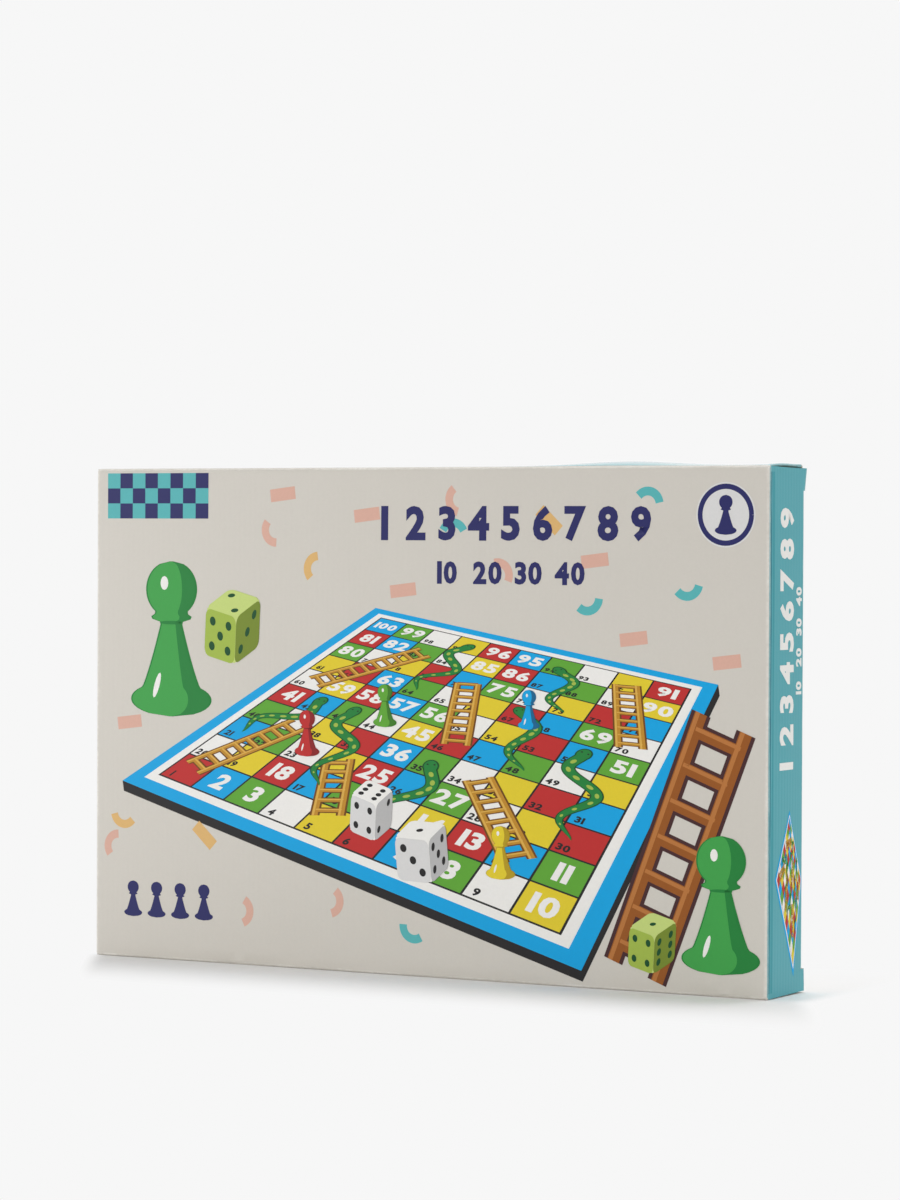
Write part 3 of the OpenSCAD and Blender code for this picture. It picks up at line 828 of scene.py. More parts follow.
def digit_mesh(character):
    """Points and faces of one character, one unit high, its low left corner at the origin."""
    curve = bpy.data.curves.new("digit", "FONT")
    curve.body = character
    curve.resolution_u = DIGIT_CURVE
    curve.offset = DIGIT_WEIGHT
    text = bpy.data.objects.new("digit", curve)
    bpy.context.scene.collection.objects.link(text)
    mesh = text.evaluated_get(bpy.context.evaluated_depsgraph_get()).to_mesh()
    points = np.zeros(len(mesh.vertices) * 3)
    mesh.vertices.foreach_get("co", points)
    mesh.calc_loop_triangles()
    corners = np.zeros(len(mesh.loop_triangles) * 3, np.int32)
    mesh.loop_triangles.foreach_get("vertices", corners)
    bpy.data.objects.remove(text)
    bpy.data.curves.remove(curve)
    flat, merged = np.unique(points.reshape(-1, 3)[:, :2].round(5), axis=0, return_inverse=True)
    faces = merged.ravel()[corners].reshape(-1, 3)
    keep = (faces != np.roll(faces, -1, axis=1)).all(axis=1)
    flat = flat - flat.min(axis=0)
    return flat / flat[:, 1].max(), faces[keep]


digits = [digit_mesh(str(i)) for i in range(10)]


def number_shape(value, centre, high, ink, level):
    """The digits of a number side by side, centred on a point."""
    parts, pen = [], 0.0
    for character in str(value):
        flat, triangles = digits[int(character)]
        parts.append((flat + [pen, 0], [triangles]))
        pen += flat[:, 0].max() + DIGIT_GAP
    points, faces = joined(parts)
    middle = np.array([(pen - DIGIT_GAP) / 2, 0.5])
    return np.asarray(centre) + high * (points - middle), faces, ink, level


def number_row(values, start, pitch, high, ink, level):
    """Numbers at even steps along a row."""
    return [number_shape(value, (start[0] + i * pitch, start[1]), high, ink, level)
            for i, value in enumerate(values)]


print("triangles per digit:", [len(d[1]) for d in digits])

# %% [markdown]
# The game's board is the main picture: ten rows of ten squares, numbered to and fro from one corner, with
# ladders up and snakes down. It is drawn in board units, one unit to a square, and a perspective map lays
# it on the sheet. The same drawing, with a plain map, prints the real board inside and the picture on the
# back.

# %% Perspective map and squares
ROWS = 10
BORDER, WHITE_BAND, LINE_HALF, BAND_STEPS = 0.60, 0.25, 0.024, 12
SQUARE_INKS = ("red", "white", "sky_blue", "yellow", "green")
col, row = np.meshgrid(np.arange(ROWS), np.arange(ROWS))
square_ink = (2 * col + row + row // 3) % len(SQUARE_INKS)
square_value = row * ROWS + np.where(row % 2 == 0, col + 1, ROWS - col)
square_corner = np.array([[0, 0], [1, 0], [1, 1], [0, 1]])


def perspective(corners):
    """The map of board units to four corners: ratios of linear forms whose numbers solve eight equations."""
    rows, aims = [], []
    for (u, v), (x, y) in zip(-BORDER + (ROWS + 2 * BORDER) * square_corner, np.asarray(corners, float)):
        rows += [[u, v, 1, 0, 0, 0, -u * x, -v * x], [0, 0, 0, u, v, 1, -u * y, -v * y]]
        aims += [x, y]
    h = np.append(np.linalg.solve(np.array(rows), np.array(aims)), 1).reshape(3, 3)

    def to_sheet(board):
        """Each point's two linear forms, divided by its third."""
        image = np.column_stack([board, np.ones(len(board))]) @ h.T
        return image[:, :2] / image[:, 2:]
    return to_sheet


def frame_band(inset, outset, ink, level):
    """The band between two squares round the board: quads between two loops of matching points."""
    start = square_corner[:, None]
    share = np.linspace(0, 1, BAND_STEPS, endpoint=False)[:, None]
    loop = (start + share * (np.roll(start, -1, axis=0) - start)).reshape(-1, 2)
    outer, inner = (-out + (ROWS + 2 * out) * loop for out in (outset, inset))
    return np.vstack([outer, inner]), [quads(numbered(2, len(loop)), wrap_cols=True)], ink, level


def coloured_squares(chosen):
    """The chosen squares, one shape for each ink, each square set in by half a line."""
    shapes = []
    for i, ink in enumerate(SQUARE_INKS):
        here = np.column_stack([part[chosen & (square_ink == i)] for part in (col, row)])
        corners = here[:, None] + LINE_HALF + (1 - 2 * LINE_HALF) * square_corner
        shapes.append((corners.reshape(-1, 2), [numbered(len(here), 4)], ink, 2))
    return shapes


def board_squares():
    """A black plate, coloured squares that leave it showing as lines, and a white and a blue band."""
    ticks = np.linspace(-LINE_HALF, ROWS + LINE_HALF, ROWS + 1)
    plate = np.stack(np.meshgrid(ticks, ticks), axis=-1).reshape(-1, 2)
    return [frame_band(WHITE_BAND, BORDER, "sky_blue", 1), frame_band(LINE_HALF, WHITE_BAND, "white", 1),
            (plate, [quads(numbered(ROWS + 1, ROWS + 1))], "black", 1)] + coloured_squares(row >= 0)


print("squares per ink:", np.bincount(square_ink.ravel()))

# %% [markdown]
# A ladder is two rails with rungs between them, each over a wider dark ribbon that outlines it. A snake is
# one ribbon that sways about a straight line, thick at the neck and thin at the tail.

# %% Ladders and snakes
RIM_SHARE, RUNG_SHARE, GLEAM_SHARE = 1.6, 0.85, 0.35
TAIL_SHARE, BODY_GROWTH, BODY_CURVE = 0.03, 1.6, 0.7
SNAKE_RIM, SNAKE_RIM_LEAST, SNAKE_RIM_GROWTH = 0.2, 0.1, 5
HEAD_RIM, HEAD_SIZE, MARK_SIZE = np.array([[1.95, 1.42], [1.70, 1.18], [0.75, 0.42]])
MARK_FROM, MARK_END = 8, 7
EYE_AHEAD, EYE_ASIDE, EYE_SIZE = 0.55, 0.6, 0.2


def across(vector):
    """A vector turned to the left by a quarter."""
    return np.array([-vector[1], vector[0]])


def tilt_of(vector):
    """The angle of a vector from the right."""
    return np.arctan2(vector[1], vector[0])


def ladder(foot, head, gauge, wood, level, rung_gap, rail):
    """Two rails beside a line and rungs between them, each over a dark ribbon and under a bright line."""
    foot, head = np.asarray(foot, float), np.asarray(head, float)
    along = head - foot
    length = np.linalg.norm(along)
    aside = across(along) / length * gauge / 2
    spans = [(foot + s * aside, head + s * aside, rail) for s in (-1, 1)]
    for share in np.arange(rung_gap / 2, length, rung_gap) / length:
        spans.append((foot + share * along - aside, foot + share * along + aside, rail * RUNG_SHARE))
    shapes = [line(a, b, width * RIM_SHARE, wood + "_dark", level) for a, b, width in spans]
    for i, (a, b, width) in enumerate(spans):
        lit = width / 2 * (along if i > 1 else across(along)) / length
        shapes.append(line(a, b, width, wood, level + 1 + (i < 2)))
        shapes.append(line(a + lit, b + lit, GLEAM_SHARE * width, wood + "_light", level + 2 + (i < 2)))
    return shapes


def snake_path(head, tail, sways, swing, steps=56):
    """Points from tail to head: a straight line plus a sine to the side that dies out at both ends."""
    head, tail = np.asarray(head, float), np.asarray(tail, float)
    share = np.linspace(0, 1, steps)[:, None]
    sway = swing * np.sin(2 * np.pi * sways * share) * np.sin(np.pi * share) ** 0.5
    return tail + share * (head - tail) + sway * (across(head - tail) / np.linalg.norm(head - tail))


def snake(path, thick, level, marks=9):
    """A dark outline, a body that thins to the tail, pale marks down the back, and a plain rounded head."""
    share = np.linspace(0, 1, len(path))
    width = thick * (TAIL_SHARE + (1 - TAIL_SHARE) * np.minimum(1, BODY_GROWTH * share) ** BODY_CURVE)
    rim = SNAKE_RIM * thick * np.minimum(1, SNAKE_RIM_LEAST + SNAKE_RIM_GROWTH * share)
    head, tilt = path[-1], tilt_of(path[-1] - path[-3])
    shapes = [ribbon(path, width + rim, "deep_green", level), ribbon(path, width, "snake_green", level + 1),
              oval(head, HEAD_RIM * thick, "deep_green", level, tilt=tilt),
              oval(head, HEAD_SIZE * thick, "snake_green", level + 2, tilt=tilt)]
    for i in np.linspace(MARK_FROM, len(path) - MARK_END, marks).astype(int):
        lean = tilt_of(path[i + 1] - path[i - 1])
        shapes.append(oval(path[i], MARK_SIZE * width[i], "lime", level + 2, 10, lean))
    ahead = unit_at(tilt)
    for s in (-1, 1):
        eye = head + EYE_AHEAD * thick * ahead + s * EYE_ASIDE * thick * across(ahead)
        shapes.append(oval(eye, (EYE_SIZE * thick,) * 2, "black", level + 3, 10))
    return shapes


print("shapes in a snake:", len(snake(snake_path((0, 1), (0, 0), 1.0, 0.2), 0.1, 1)))

# %% [markdown]
# The drawing has four parts: squares, numbers, ladders and snakes. They are worked out once and kept in
# board units, because the front, both ends, the back and the real board all print them through maps of
# their own. A square that a ladder or a snake crosses has its number in a corner.

# %% The board's drawing
LADDERS = (((0.5, 0.6), (1.6, 3.4)), ((4.4, 0.7), (3.4, 2.6)), ((8.6, 1.4), (6.7, 3.5)),
           ((0.6, 5.4), (2.5, 8.5)), ((5.6, 4.5), (4.5, 7.4)), ((9.4, 6.4), (8.4, 9.4)))
SNAKES = (((2.5, 4.6), (3.6, 1.5), 1.5), ((6.4, 6.7), (7.5, 4.3), 1.0), ((3.5, 9.4), (3.4, 6.4), 1.5),
          ((8.5, 5.6), (9.3, 2.5), 1.5), ((6.5, 9.3), (7.4, 7.2), 1.0), ((1.4, 4.6), (0.5, 2.4), 1.0),
          ((5.5, 3.4), (5.6, 0.8), 1.0))
SWING, SNAKE_THICK = 0.42, 0.14
GAUGE, RUNG_GAP, RAIL = 0.58, 0.36, 0.07
LARGE, LONG, SMALL, SMALL_AT = 0.56, 0.42, 0.22, (0.24, 0.2)
NUMBER_LEVEL, LADDER_LEVEL, SNAKE_LEVEL, PIECE_LEVEL = 3, 4, 7, 10
snake_paths = [snake_path(head, tail, sways, SWING) for head, tail, sways in SNAKES]


def board_numbers():
    """Large white numbers on free coloured squares; small dark ones in a corner of white or crossed ones."""
    share = np.linspace(0, 1, 40)[:, None]
    runs = [np.add(foot, share * np.subtract(head, foot)) for foot, head in LADDERS] + snake_paths
    crossed = {tuple(spot) for run in runs for spot in np.floor(run).astype(int)}
    shapes = []
    for c, r, value, i in zip(col.ravel(), row.ravel(), square_value.ravel(), square_ink.ravel()):
        if SQUARE_INKS[i] == "white" or (c, r) in crossed:
            shapes.append(number_shape(value, np.add((c, r), SMALL_AT), SMALL, "black", NUMBER_LEVEL))
        else:
            high = LONG if value == ROWS * ROWS else LARGE
            shapes.append(number_shape(value, (c + 0.5, r + 0.5), high, "white", NUMBER_LEVEL))
    return shapes


BOARD_PARTS = {"squares": board_squares(), "numbers": board_numbers(),
               "ladders": [s for foot, head in LADDERS
                           for s in ladder(foot, head, GAUGE, "ochre", LADDER_LEVEL, RUNG_GAP, RAIL)],
               "snakes": [s for path in snake_paths for s in snake(path, SNAKE_THICK, SNAKE_LEVEL)]}


def board_drawing(*parts):
    """The shapes of the named parts, in board units."""
    return [shape for part in parts for shape in BOARD_PARTS[part]]


print("shapes:", {part: len(shapes) for part, shapes in BOARD_PARTS.items()})

# %% [markdown]
# Pawns and dice stand on the printed board. A pawn is an upright whose width is the turned profile, with a
# dark side and two bright spots for its round form. A die is three faces along three edges, with oval pips
# on each.

# %% Printed pawns and dice
MIDDLE, CORNERS = ((0, 0),), ((-1, -1), (1, 1), (-1, 1), (1, -1))
PIP_SPOTS = {1: MIDDLE, 2: CORNERS[:2], 3: CORNERS[:1] + MIDDLE + CORNERS[1:2], 4: CORNERS,
             5: CORNERS + MIDDLE, 6: CORNERS + ((-1, 0), (1, 0))}
PAWN_STEPS, PAWN_RIM, PAWN_LEAST, SHADE_AT, SHADE_WIDTH = 60, 0.012, 1e-3, 0.72, 0.28
FOOT_HUMP, COLLAR_HUMP, BALL_HUMP = (0.30, 0.11, 0.11), (0.145, 0.64, 0.035), (0.185, 0.82, 0.18)
NECK_LOW, NECK_HIGH, NECK_WIDE, NECK_TAPER, NECK_RUN, NECK_CURVE = 0.1, 0.66, 0.27, 0.20, 0.5, 0.7
PAWN_SPOTS = (((0, 0.605), (0.09, 0.012), 16, 0.0), ((-0.11, 0.2), (0.02, 0.085), 12, -0.3),
              ((-0.055, 0.86), (0.03, 0.045), 12, 0.0))
TILE_SIZE, TILE_ROUND, TILE_PITCH, TILE_PIP, TILE_STEPS = 0.99, 0.16, 0.26, 0.095, 14
TILE_MIDDLE, CUBE_SHARE = np.array([0.5, 0.5]), 0.95
PLAIN_TONES = ("pale_grey", "grey", "white")


def hump(t, middle, reach):
    """A half circle over a middle, one high and with a reach to both sides."""
    return np.sqrt(np.clip(1 - ((t - middle) / reach) ** 2, 0, 1))


def pawn_width(t):
    """Half width of a pawn of height one at height t: round foot, tapered neck, collar and ball."""
    taper = NECK_TAPER * ((t - NECK_LOW) / NECK_RUN).clip(0, 1) ** NECK_CURVE
    forms = [np.where((t >= NECK_LOW) & (t < NECK_HIGH), NECK_WIDE - taper, 0)]
    forms += [wide * hump(t, middle, reach) for wide, middle, reach in (FOOT_HUMP, COLLAR_HUMP, BALL_HUMP)]
    return np.maximum.reduce(forms) + PAWN_LEAST


def pawn_axis(foot, high):
    """Points up a pawn's axis, and its half width at each."""
    t = np.linspace(0, 1, PAWN_STEPS)
    return np.asarray(foot) + np.column_stack([0 * t, t * high]), pawn_width(t) * high


def pawn_picture(foot, high, ink, dark_ink, level):
    """A pawn with a shaded right side, a dark line under its collar and two bright spots on the left."""
    axis, width = pawn_axis(foot, high)
    shade = axis + np.column_stack([SHADE_AT * width, 0 * width])
    shapes = [upright(axis, width + PAWN_RIM * high, dark_ink, level), upright(axis, width, ink, level + 1),
              upright(shade, SHADE_WIDTH * width, dark_ink, level + 2)]
    for (spot, radii, steps, tilt), spot_ink in zip(PAWN_SPOTS, (dark_ink, "white", "white")):
        place = np.asarray(foot) + np.array(spot) * high
        shapes.append(oval(place, np.array(radii) * high, spot_ink, level + 2, steps, tilt))
    return shapes


def die_picture(corner, edges, values, level, tones=PLAIN_TONES, pip_ink="black"):
    """Three round-cornered faces of a cube from its near corner and three edges, with pips on each."""
    corner = np.asarray(corner, float)
    left, right, up = np.asarray(edges, float)
    rim = corner + np.array([0 * up, right, right + up, left + right + up, left + up, left])
    middle = rim.mean(axis=0)
    shapes = [(middle + CUBE_SHARE * (rim - middle), [numbered(1, 6)], tones[2], level)]
    sides = ((corner, left, up), (corner, right, up), (corner + up, left, right))
    for (start, a, b), ink, value in zip(sides, tones, values):
        face = [rounded_tile(TILE_MIDDLE, TILE_SIZE, TILE_ROUND, ink, level + 1)]
        for spot in PIP_SPOTS[value]:
            pip_at = TILE_MIDDLE + TILE_PITCH * np.array(spot)
            face.append(oval(pip_at, (TILE_PIP,) * 2, pip_ink, level + 2, TILE_STEPS))
        shapes += mapped(face, lambda p: start + p @ np.array([a, b]))
    return shapes


print("pawn widest", round(float(2 * pawn_axis((0, 0), 1)[1].max()), 2), "of its height")

# %% [markdown]
# Now the front is printed. The board lies in perspective across the middle, with its thickness as a dark
# edge below. The map that puts print on front and back has the same swell as the tube, so every film lies
# on the skin.

# %% Front: the board's picture
BOARD_CORNERS = np.array([[-181, 94], [96, 8.6], [171, 153], [-24, 188]])
BOARD_THICK = np.array([0.8, -5.4])
front_board = perspective(BOARD_CORNERS)


def on_panel(face_y, out, high):
    """A map from a sheet to the front, where out is -1, or the back, where it is 1: up is +Z on both."""
    def to_panel(flat, lift):
        """Right runs along X as seen from outside, and ink stands out on the panel's swell."""
        x, z = -out * flat[:, 0], flat[:, 1]
        return np.column_stack([x, face_y + out * panel_swell(high, x, z) + out * lift, z])
    return to_panel


def board_edge(left, near, far):
    """The dark thickness under the two near edges: a band between the edge and its copy moved down."""
    share = np.linspace(0, 1, 10)[:, None]
    rim = np.vstack([left + share * (near - left), (near + share * (far - near))[1:]])
    return band(rim + BOARD_THICK, rim, "black", 1)


on_front, on_back = on_panel(front_y, -1, FRONT_SWELL), on_panel(back_y, 1, BACK_SWELL)
for part in BOARD_PARTS:
    edge = [board_edge(*BOARD_CORNERS[:3])] if part == "squares" else []
    print_piece("front_board_" + part, "carton", mapped(board_drawing(part), front_board) + edge, on_front)

# %% [markdown]
# Four pawns and two dice stand on the pictured board. They are upright things on a lying board, so they are
# drawn straight on the sheet and not through the board's perspective.

# %% Front: pawns and dice on the board
PAWNS = (((-65, 110.5), 24, "red", "red_dark"), ((-18, 127), 22, "green", "green_dark"),
         ((66, 128), 20, "sky_blue", "blue_dark"), ((50, 52), 27, "yellow", "yellow_dark"))
game_pieces = [s for pawn in PAWNS for s in pawn_picture(*pawn, PIECE_LEVEL)]
game_pieces += die_picture((-24, 68), ((-15, 5), (10, 8), (1, 19)), (4, 2, 6), PIECE_LEVEL)
game_pieces += die_picture((10, 48), ((-20, 1), (10, 9), (-2, 22)), (3, 5, 1), PIECE_LEVEL + 4)
print_piece("front_pawns_and_dice", "carton", game_pieces, on_front)

# %% [markdown]
# The rest of the front has plain rows of numbers, a chequer, a ring, and pawns as small marks. They use the
# outlines from above, and only their places and sizes are new.

# %% Front: number rows and small marks
ONES, TENS = range(1, 10), range(10, 41, 10)
ROW_PITCH, ROW_HIGH = 18.4, 17.5
CHEQUER, CHEQUER_CORNER, CHEQUER_COUNT = 8.0, (-191.0, 233.6), (8, 3)
RING_AT, RING_GROUND, RING_INNER, RING_OUTER, RING_STEPS = (174.5, 236), 16.0, 12.6, 15.2, 48


def pawn_mark(foot, high):
    """A pawn in one flat ink."""
    return upright(*pawn_axis(foot, high), "navy", 2)


marks = number_row(ONES, (-19, 231.5), ROW_PITCH, ROW_HIGH, "navy", 3)
marks += number_row(TENS, (18, 206.5), 23.5, 11.5, "navy", 3)
for i, j in np.ndindex(*CHEQUER_COUNT):
    spot = np.add(CHEQUER_CORNER, (np.array([i, j]) + 0.5) * CHEQUER)
    marks.append(tilted_box(spot, (CHEQUER, CHEQUER), 0.0, "navy" if (i + j) % 2 else "teal_ink", 2))
marks += [oval(RING_AT, (RING_GROUND, RING_GROUND), "pale_grey", 1, RING_STEPS),
          arc_band(RING_AT, RING_INNER, RING_OUTER, 0, 2 * np.pi, "navy", 2, RING_STEPS + 1),
          pawn_mark((174.5, 226.2), 19.5)]
marks += [pawn_mark((x, 22), 19) for x in (-174, -159, -144, -129)]
print_piece("front_small_marks", "carton", marks, on_front)

# %% [markdown]
# Confetti fills the free sheet. A low-discrepancy rule places it: each new scrap steps on by two fixed
# fractions of the sheet's width and height, which looks scattered and never clumps. Scraps that would land
# on the board, the small marks or the large figures are left out. Under the rows of numbers they stay.

# %% Front: confetti
SCRAP_TRIES, SCRAP_STEP = 66, np.array([0.754878, 0.569840])
SCRAP_SIZE, SCRAP_TILTS = (15.2, 6.6), (-0.75, 0.12)
SCRAP_INNER, SCRAP_OUTER, SCRAP_SWEEP, SCRAP_TURN = 4.4, 8.8, 2.3, 2.4
SHEET_LOW, SHEET_HIGH, BOARD_MARGIN = np.array([-187.0, 11.0]), np.array([187.0, 249.0]), 10.0
KEEP_CLEAR = ((-200, -120, 226, 262), (152, 200, 214, 262), (-186, -116, 14, 48), (-176, -88, 116, 216),
              (100, 200, 0, 146))


def clear_of_board(spots, margin):
    """True for spots outside the board's picture: the least depth behind its edges is under -margin."""
    along = np.roll(BOARD_CORNERS, -1, axis=0) - BOARD_CORNERS
    inward = np.column_stack([-along[:, 1], along[:, 0]]) / np.linalg.norm(along, axis=1)[:, None]
    return ((spots[:, None] - BOARD_CORNERS) * inward).sum(axis=-1).min(axis=1) < -margin


def scrap(number, spot):
    """A small box or a piece of a ring, whose kind, ink and turn follow its number."""
    if number % 5 in (0, 2):
        return tilted_box(spot, SCRAP_SIZE, SCRAP_TILTS[number % 2], ("tan", "peach")[number % 2], 1)
    start = SCRAP_TURN * number
    return arc_band(spot, SCRAP_INNER, SCRAP_OUTER, start, start + SCRAP_SWEEP,
                    ("teal_ink", "tan", "peach")[number % 3], 1)


tries = np.arange(1, SCRAP_TRIES + 1)
spots = SHEET_LOW + (SHEET_HIGH - SHEET_LOW) * ((tries[:, None] * SCRAP_STEP) % 1)
free = clear_of_board(spots, BOARD_MARGIN)
for x0, x1, z0, z1 in KEEP_CLEAR:
    free &= ~((spots[:, 0] > x0) & (spots[:, 0] < x1) & (spots[:, 1] > z0) & (spots[:, 1] < z1))
scraps = [scrap(number, spot) for number, spot in zip(tries[free], spots[free])]
print_piece("front_confetti", "carton", scraps, on_front)
print("scraps kept:", len(scraps))

# %% [markdown]
# Beside the board the front shows the game's things large: a pawn and a die on the left, and a ladder with
# a pawn and a die before it on the right. They are the outlines from above at another size, the ladder in
# browns and the rest in greens.

# %% Front: large pawns, dice and ladder
LIME_DIE = (("lime", "lime_dark", "pale_lime"), "deep_green")
BEHIND, BEFORE = 2, 7
large = pawn_picture((-150, 129), 82, "leaf_green", "snake_green", BEHIND)
large += die_picture((-110, 157), ((-19, 5), (15, 10), (1, 25)), (5, 3, 2), BEFORE, *LIME_DIE)
large += ladder((126, 10), (174, 134), 26, "brown", BEHIND, 19, 3.4)
large += pawn_picture((173, 11), 68, "leaf_green", "snake_green", BEFORE)
large += die_picture((136, 9), ((-14, 4), (12, 8), (1, 19)), (4, 6, 1), BEFORE, *LIME_DIE)
print_piece("front_large_figures", "carton", large, on_front)

# %% [markdown]
# Both ends carry two white rows of numbers that read upwards and a small board under them. Each is a sheet
# of its own, read from outside, so the left one runs the other way along the carton's depth. Beside the
# crease, painted shade darkens the teal: a dark line whose width wanders, and a lighter band of shade next
# to it.

# %% Ends
END_BOARD = ((8, 58), (30, 9), (39, 56), (24, 91))
LEFT_EDGE, CREASE_AT, BAND_AT = 22.0, 2.35, 2.6
CREASE_MARGIN, CREASE_STEPS, CREASE_LEVELS = 3, 90, 2
DARK_HALF, DARK_WANDER, DARK_RUN, DARK_SHORT_RUN = 0.42, 0.12, 17, 5
PALE_HALF, PALE_WANDER, PALE_RUN = 0.9, 0.35, 29


def on_end(edge_y, out):
    """A map from a sheet to the right end, where out is 1, or the left end, where it is -1."""
    def to_end(flat, lift):
        """Right runs along Y as seen from outside, up is +Z, and ink stands out on the end's swell."""
        y, z = edge_y + out * flat[:, 0], flat[:, 1]
        return np.column_stack([out * (end_x + end_swell(y, z) + lift), y, z])
    return to_end


def upwards(shapes, start):
    """The shapes turned by a quarter, so that a row climbs from a start."""
    return mapped(shapes, lambda p: np.column_stack([start[0] - p[:, 1], start[1] + p[:, 0]]))


def crease_lines(at, way):
    """Painted crease shade: a dark line of wandering width up the crease, and a lighter band of shade to one
    side.
    """
    climb = np.linspace(CREASE_MARGIN, carton_h - CREASE_MARGIN, CREASE_STEPS)
    dark = DARK_HALF + DARK_WANDER * np.sin(climb / DARK_RUN) * np.sin(climb / DARK_SHORT_RUN)
    pale = PALE_HALF + PALE_WANDER * np.sin(climb / PALE_RUN)
    lines = [ribbon(np.column_stack([0 * climb, climb]), dark, "deep_teal", 1),
             ribbon(np.column_stack([BAND_AT + 0 * climb, climb]), pale, "mid_teal", 1)]
    return mapped(lines, lambda p: [at, 0] + p * [way, 1])


end_print = upwards(number_row(ONES, (7, 0), 15.2, 15.5, "white", 4), (20, 106))
end_print += upwards(number_row(TENS, (6, 0), 15.0, 6.4, "white", 4), (34, 145))
end_print += mapped(board_drawing("squares", "ladders", "snakes"), perspective(END_BOARD))
end_print = [(flat, faces, ink, level + CREASE_LEVELS) for flat, faces, ink, level in end_print]
print_piece("right_end_print", "right_closure", end_print + crease_lines(CREASE_AT, 1), on_end(front_y, 1))
print_piece("left_end_print", "left_closure",
            end_print + crease_lines(LEFT_EDGE - front_y - CREASE_AT, -1), on_end(LEFT_EDGE, -1))

# %% [markdown]
# The back shows the board flat, with the playing pieces beside it. The photograph does not show this side,
# so the layout is a plain guess.

# %% Back
BACK_BOARD = ((-82, 28), (82, 28), (82, 192), (-82, 192))
BACK_DIE, BACK_PAWN = ((-20, 6), (14, 10), (1, 24)), 44
back_print = mapped(board_drawing(*BOARD_PARTS), perspective(BACK_BOARD))
back_print += number_row(ONES, (-74, 223), ROW_PITCH, ROW_HIGH, "navy", 3)
for i, (_, _, ink, dark_ink) in enumerate(PAWNS):
    back_print += pawn_picture((-150 + 30 * (i % 2), 60 + 70 * (i // 2)), BACK_PAWN, ink, dark_ink, 2)
for corner, values in (((132, 60), (4, 2, 6)), ((146, 128), (3, 5, 1))):
    back_print += die_picture(corner, BACK_DIE, values, 2)
print_piece("back_print", "carton", back_print, on_back)

# %% [markdown]
# Inside, some CAD shapes are right as they are: the folded card insert, the glue flap, the hinge paper and
# the rules sheet. They keep their shapes and only get materials from the same recipe.

# %% Insert and papers
card = board_material("insert_card", "#c9b08a", "#d9c6a6", rough=0.75, cloud=0.10, fleck=0.25, depth=0.04,
                      varnish=0.0)
hinge_paper = board_material("hinge_paper", "#26305e", "#3b4677", rough=0.6, cloud=0.08, fleck=0.2,
                             depth=0.04, varnish=0.0)
rules_paper = board_material("rules_paper", "#f0eee8", "#ffffff", ACROSS_Z, rough=0.7, cloud=0.04,
                             fleck=0.12, depth=0.03, varnish=0.0)
plain = {name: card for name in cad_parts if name.startswith("insert_")}
plain.update({"glue_flap": kraft, "board_hinge_strip": hinge_paper, "rules_sheet": rules_paper})
for name, material in plain.items():
    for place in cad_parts[name].material_slots:
        place.material = material
print("material slots set:", {name: len(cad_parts[name].material_slots) for name in sorted(plain)})

# %% [markdown]
# A board leaf is grey card wrapped in paper, so its edges are round. Its skin is one outline, carried over
# a half circle from one face to the other: each step moves the outline in a little and along a little.

# %% Board leaves
LEAF_CORNER, LEAF_STEPS = 3.0, 8
wrap = board_material("board_wrap", "#2a66ab", "#6f95c4", rough=0.5, cloud=0.06, fleck=0.25, depth=0.08)
back_leaf, front_leaf = node_box("board_back_leaf"), node_box("board_front_leaf")


def leaf_skin(low, high):
    """Rounded outline, inset by r - r cos(a) and moved by r sin(a), for a from minus to plus a quarter."""
    r = (high[1] - low[1]) / 2
    a = np.linspace(-np.pi / 2, np.pi / 2, LEAF_STEPS)[:, None]
    quarter = np.arange(4)[:, None] * np.pi / 2
    turn = (quarter + np.linspace(0, np.pi / 2, LEAF_STEPS)).ravel()
    sign = np.repeat(np.array([[1, 1], [-1, 1], [-1, -1], [1, -1]]), LEAF_STEPS, axis=0)
    middle, half = (low + high)[[0, 2]] / 2, (high - low)[[0, 2]] / 2 - LEAF_CORNER
    bend = LEAF_CORNER - r + r * np.cos(a)
    x = middle[0] + sign[:, 0] * half[0] + bend * np.cos(turn)
    z = middle[1] + sign[:, 1] * half[1] + bend * np.sin(turn)
    y = np.broadcast_to((low + high)[1] / 2 + r * np.sin(a), x.shape)
    return capped(np.stack([x, y, z], axis=-1))


for name, body, box in (("board_back_leaf", "board", back_leaf),
                        ("board_front_leaf", "board_front_leaf", front_leaf)):
    add_piece(name + "_wrapped", body, *leaf_skin(*box), [wrap], slot="board_wrap", stands_for=(name,))

# %% [markdown]
# The leaves' inner faces are the game itself. Each takes five rows. The front leaf is folded over, so its
# rows run down from the fold. The ink here is thinner, since paper lies between the leaves.

# %% Board print
HALF, LEAF_MARGIN, THIN_INK, OVERHANG = ROWS // 2, 1.4, 0.3, 0.1


def half_print(first):
    """White ground, border strips, squares, numbers and whatever lies wholly in five rows, in board units."""
    outer, inner = (-BORDER, -WHITE_BAND) if first == 0 else (ROWS + BORDER, ROWS + WHITE_BAND)
    strip, middle = (BORDER - WHITE_BAND) / 2, (outer + inner) / 2
    shapes = [line((HALF, outer), (HALF, HALF), HALF + BORDER, "white", 1),
              line((-BORDER, middle), (ROWS + BORDER, middle), strip, "sky_blue", 2)]
    for x in (-BORDER + strip, ROWS + BORDER - strip):
        shapes.append(line((x, outer), (x, HALF), strip, "sky_blue", 2))
    shapes += coloured_squares((row >= first) & (row < first + HALF))
    for shape in board_drawing("numbers", "ladders", "snakes"):
        heights = shape[0][:, 1]
        if heights.min() > first - OVERHANG and heights.max() < first + HALF + OVERHANG:
            shapes.append(shape)
    return shapes


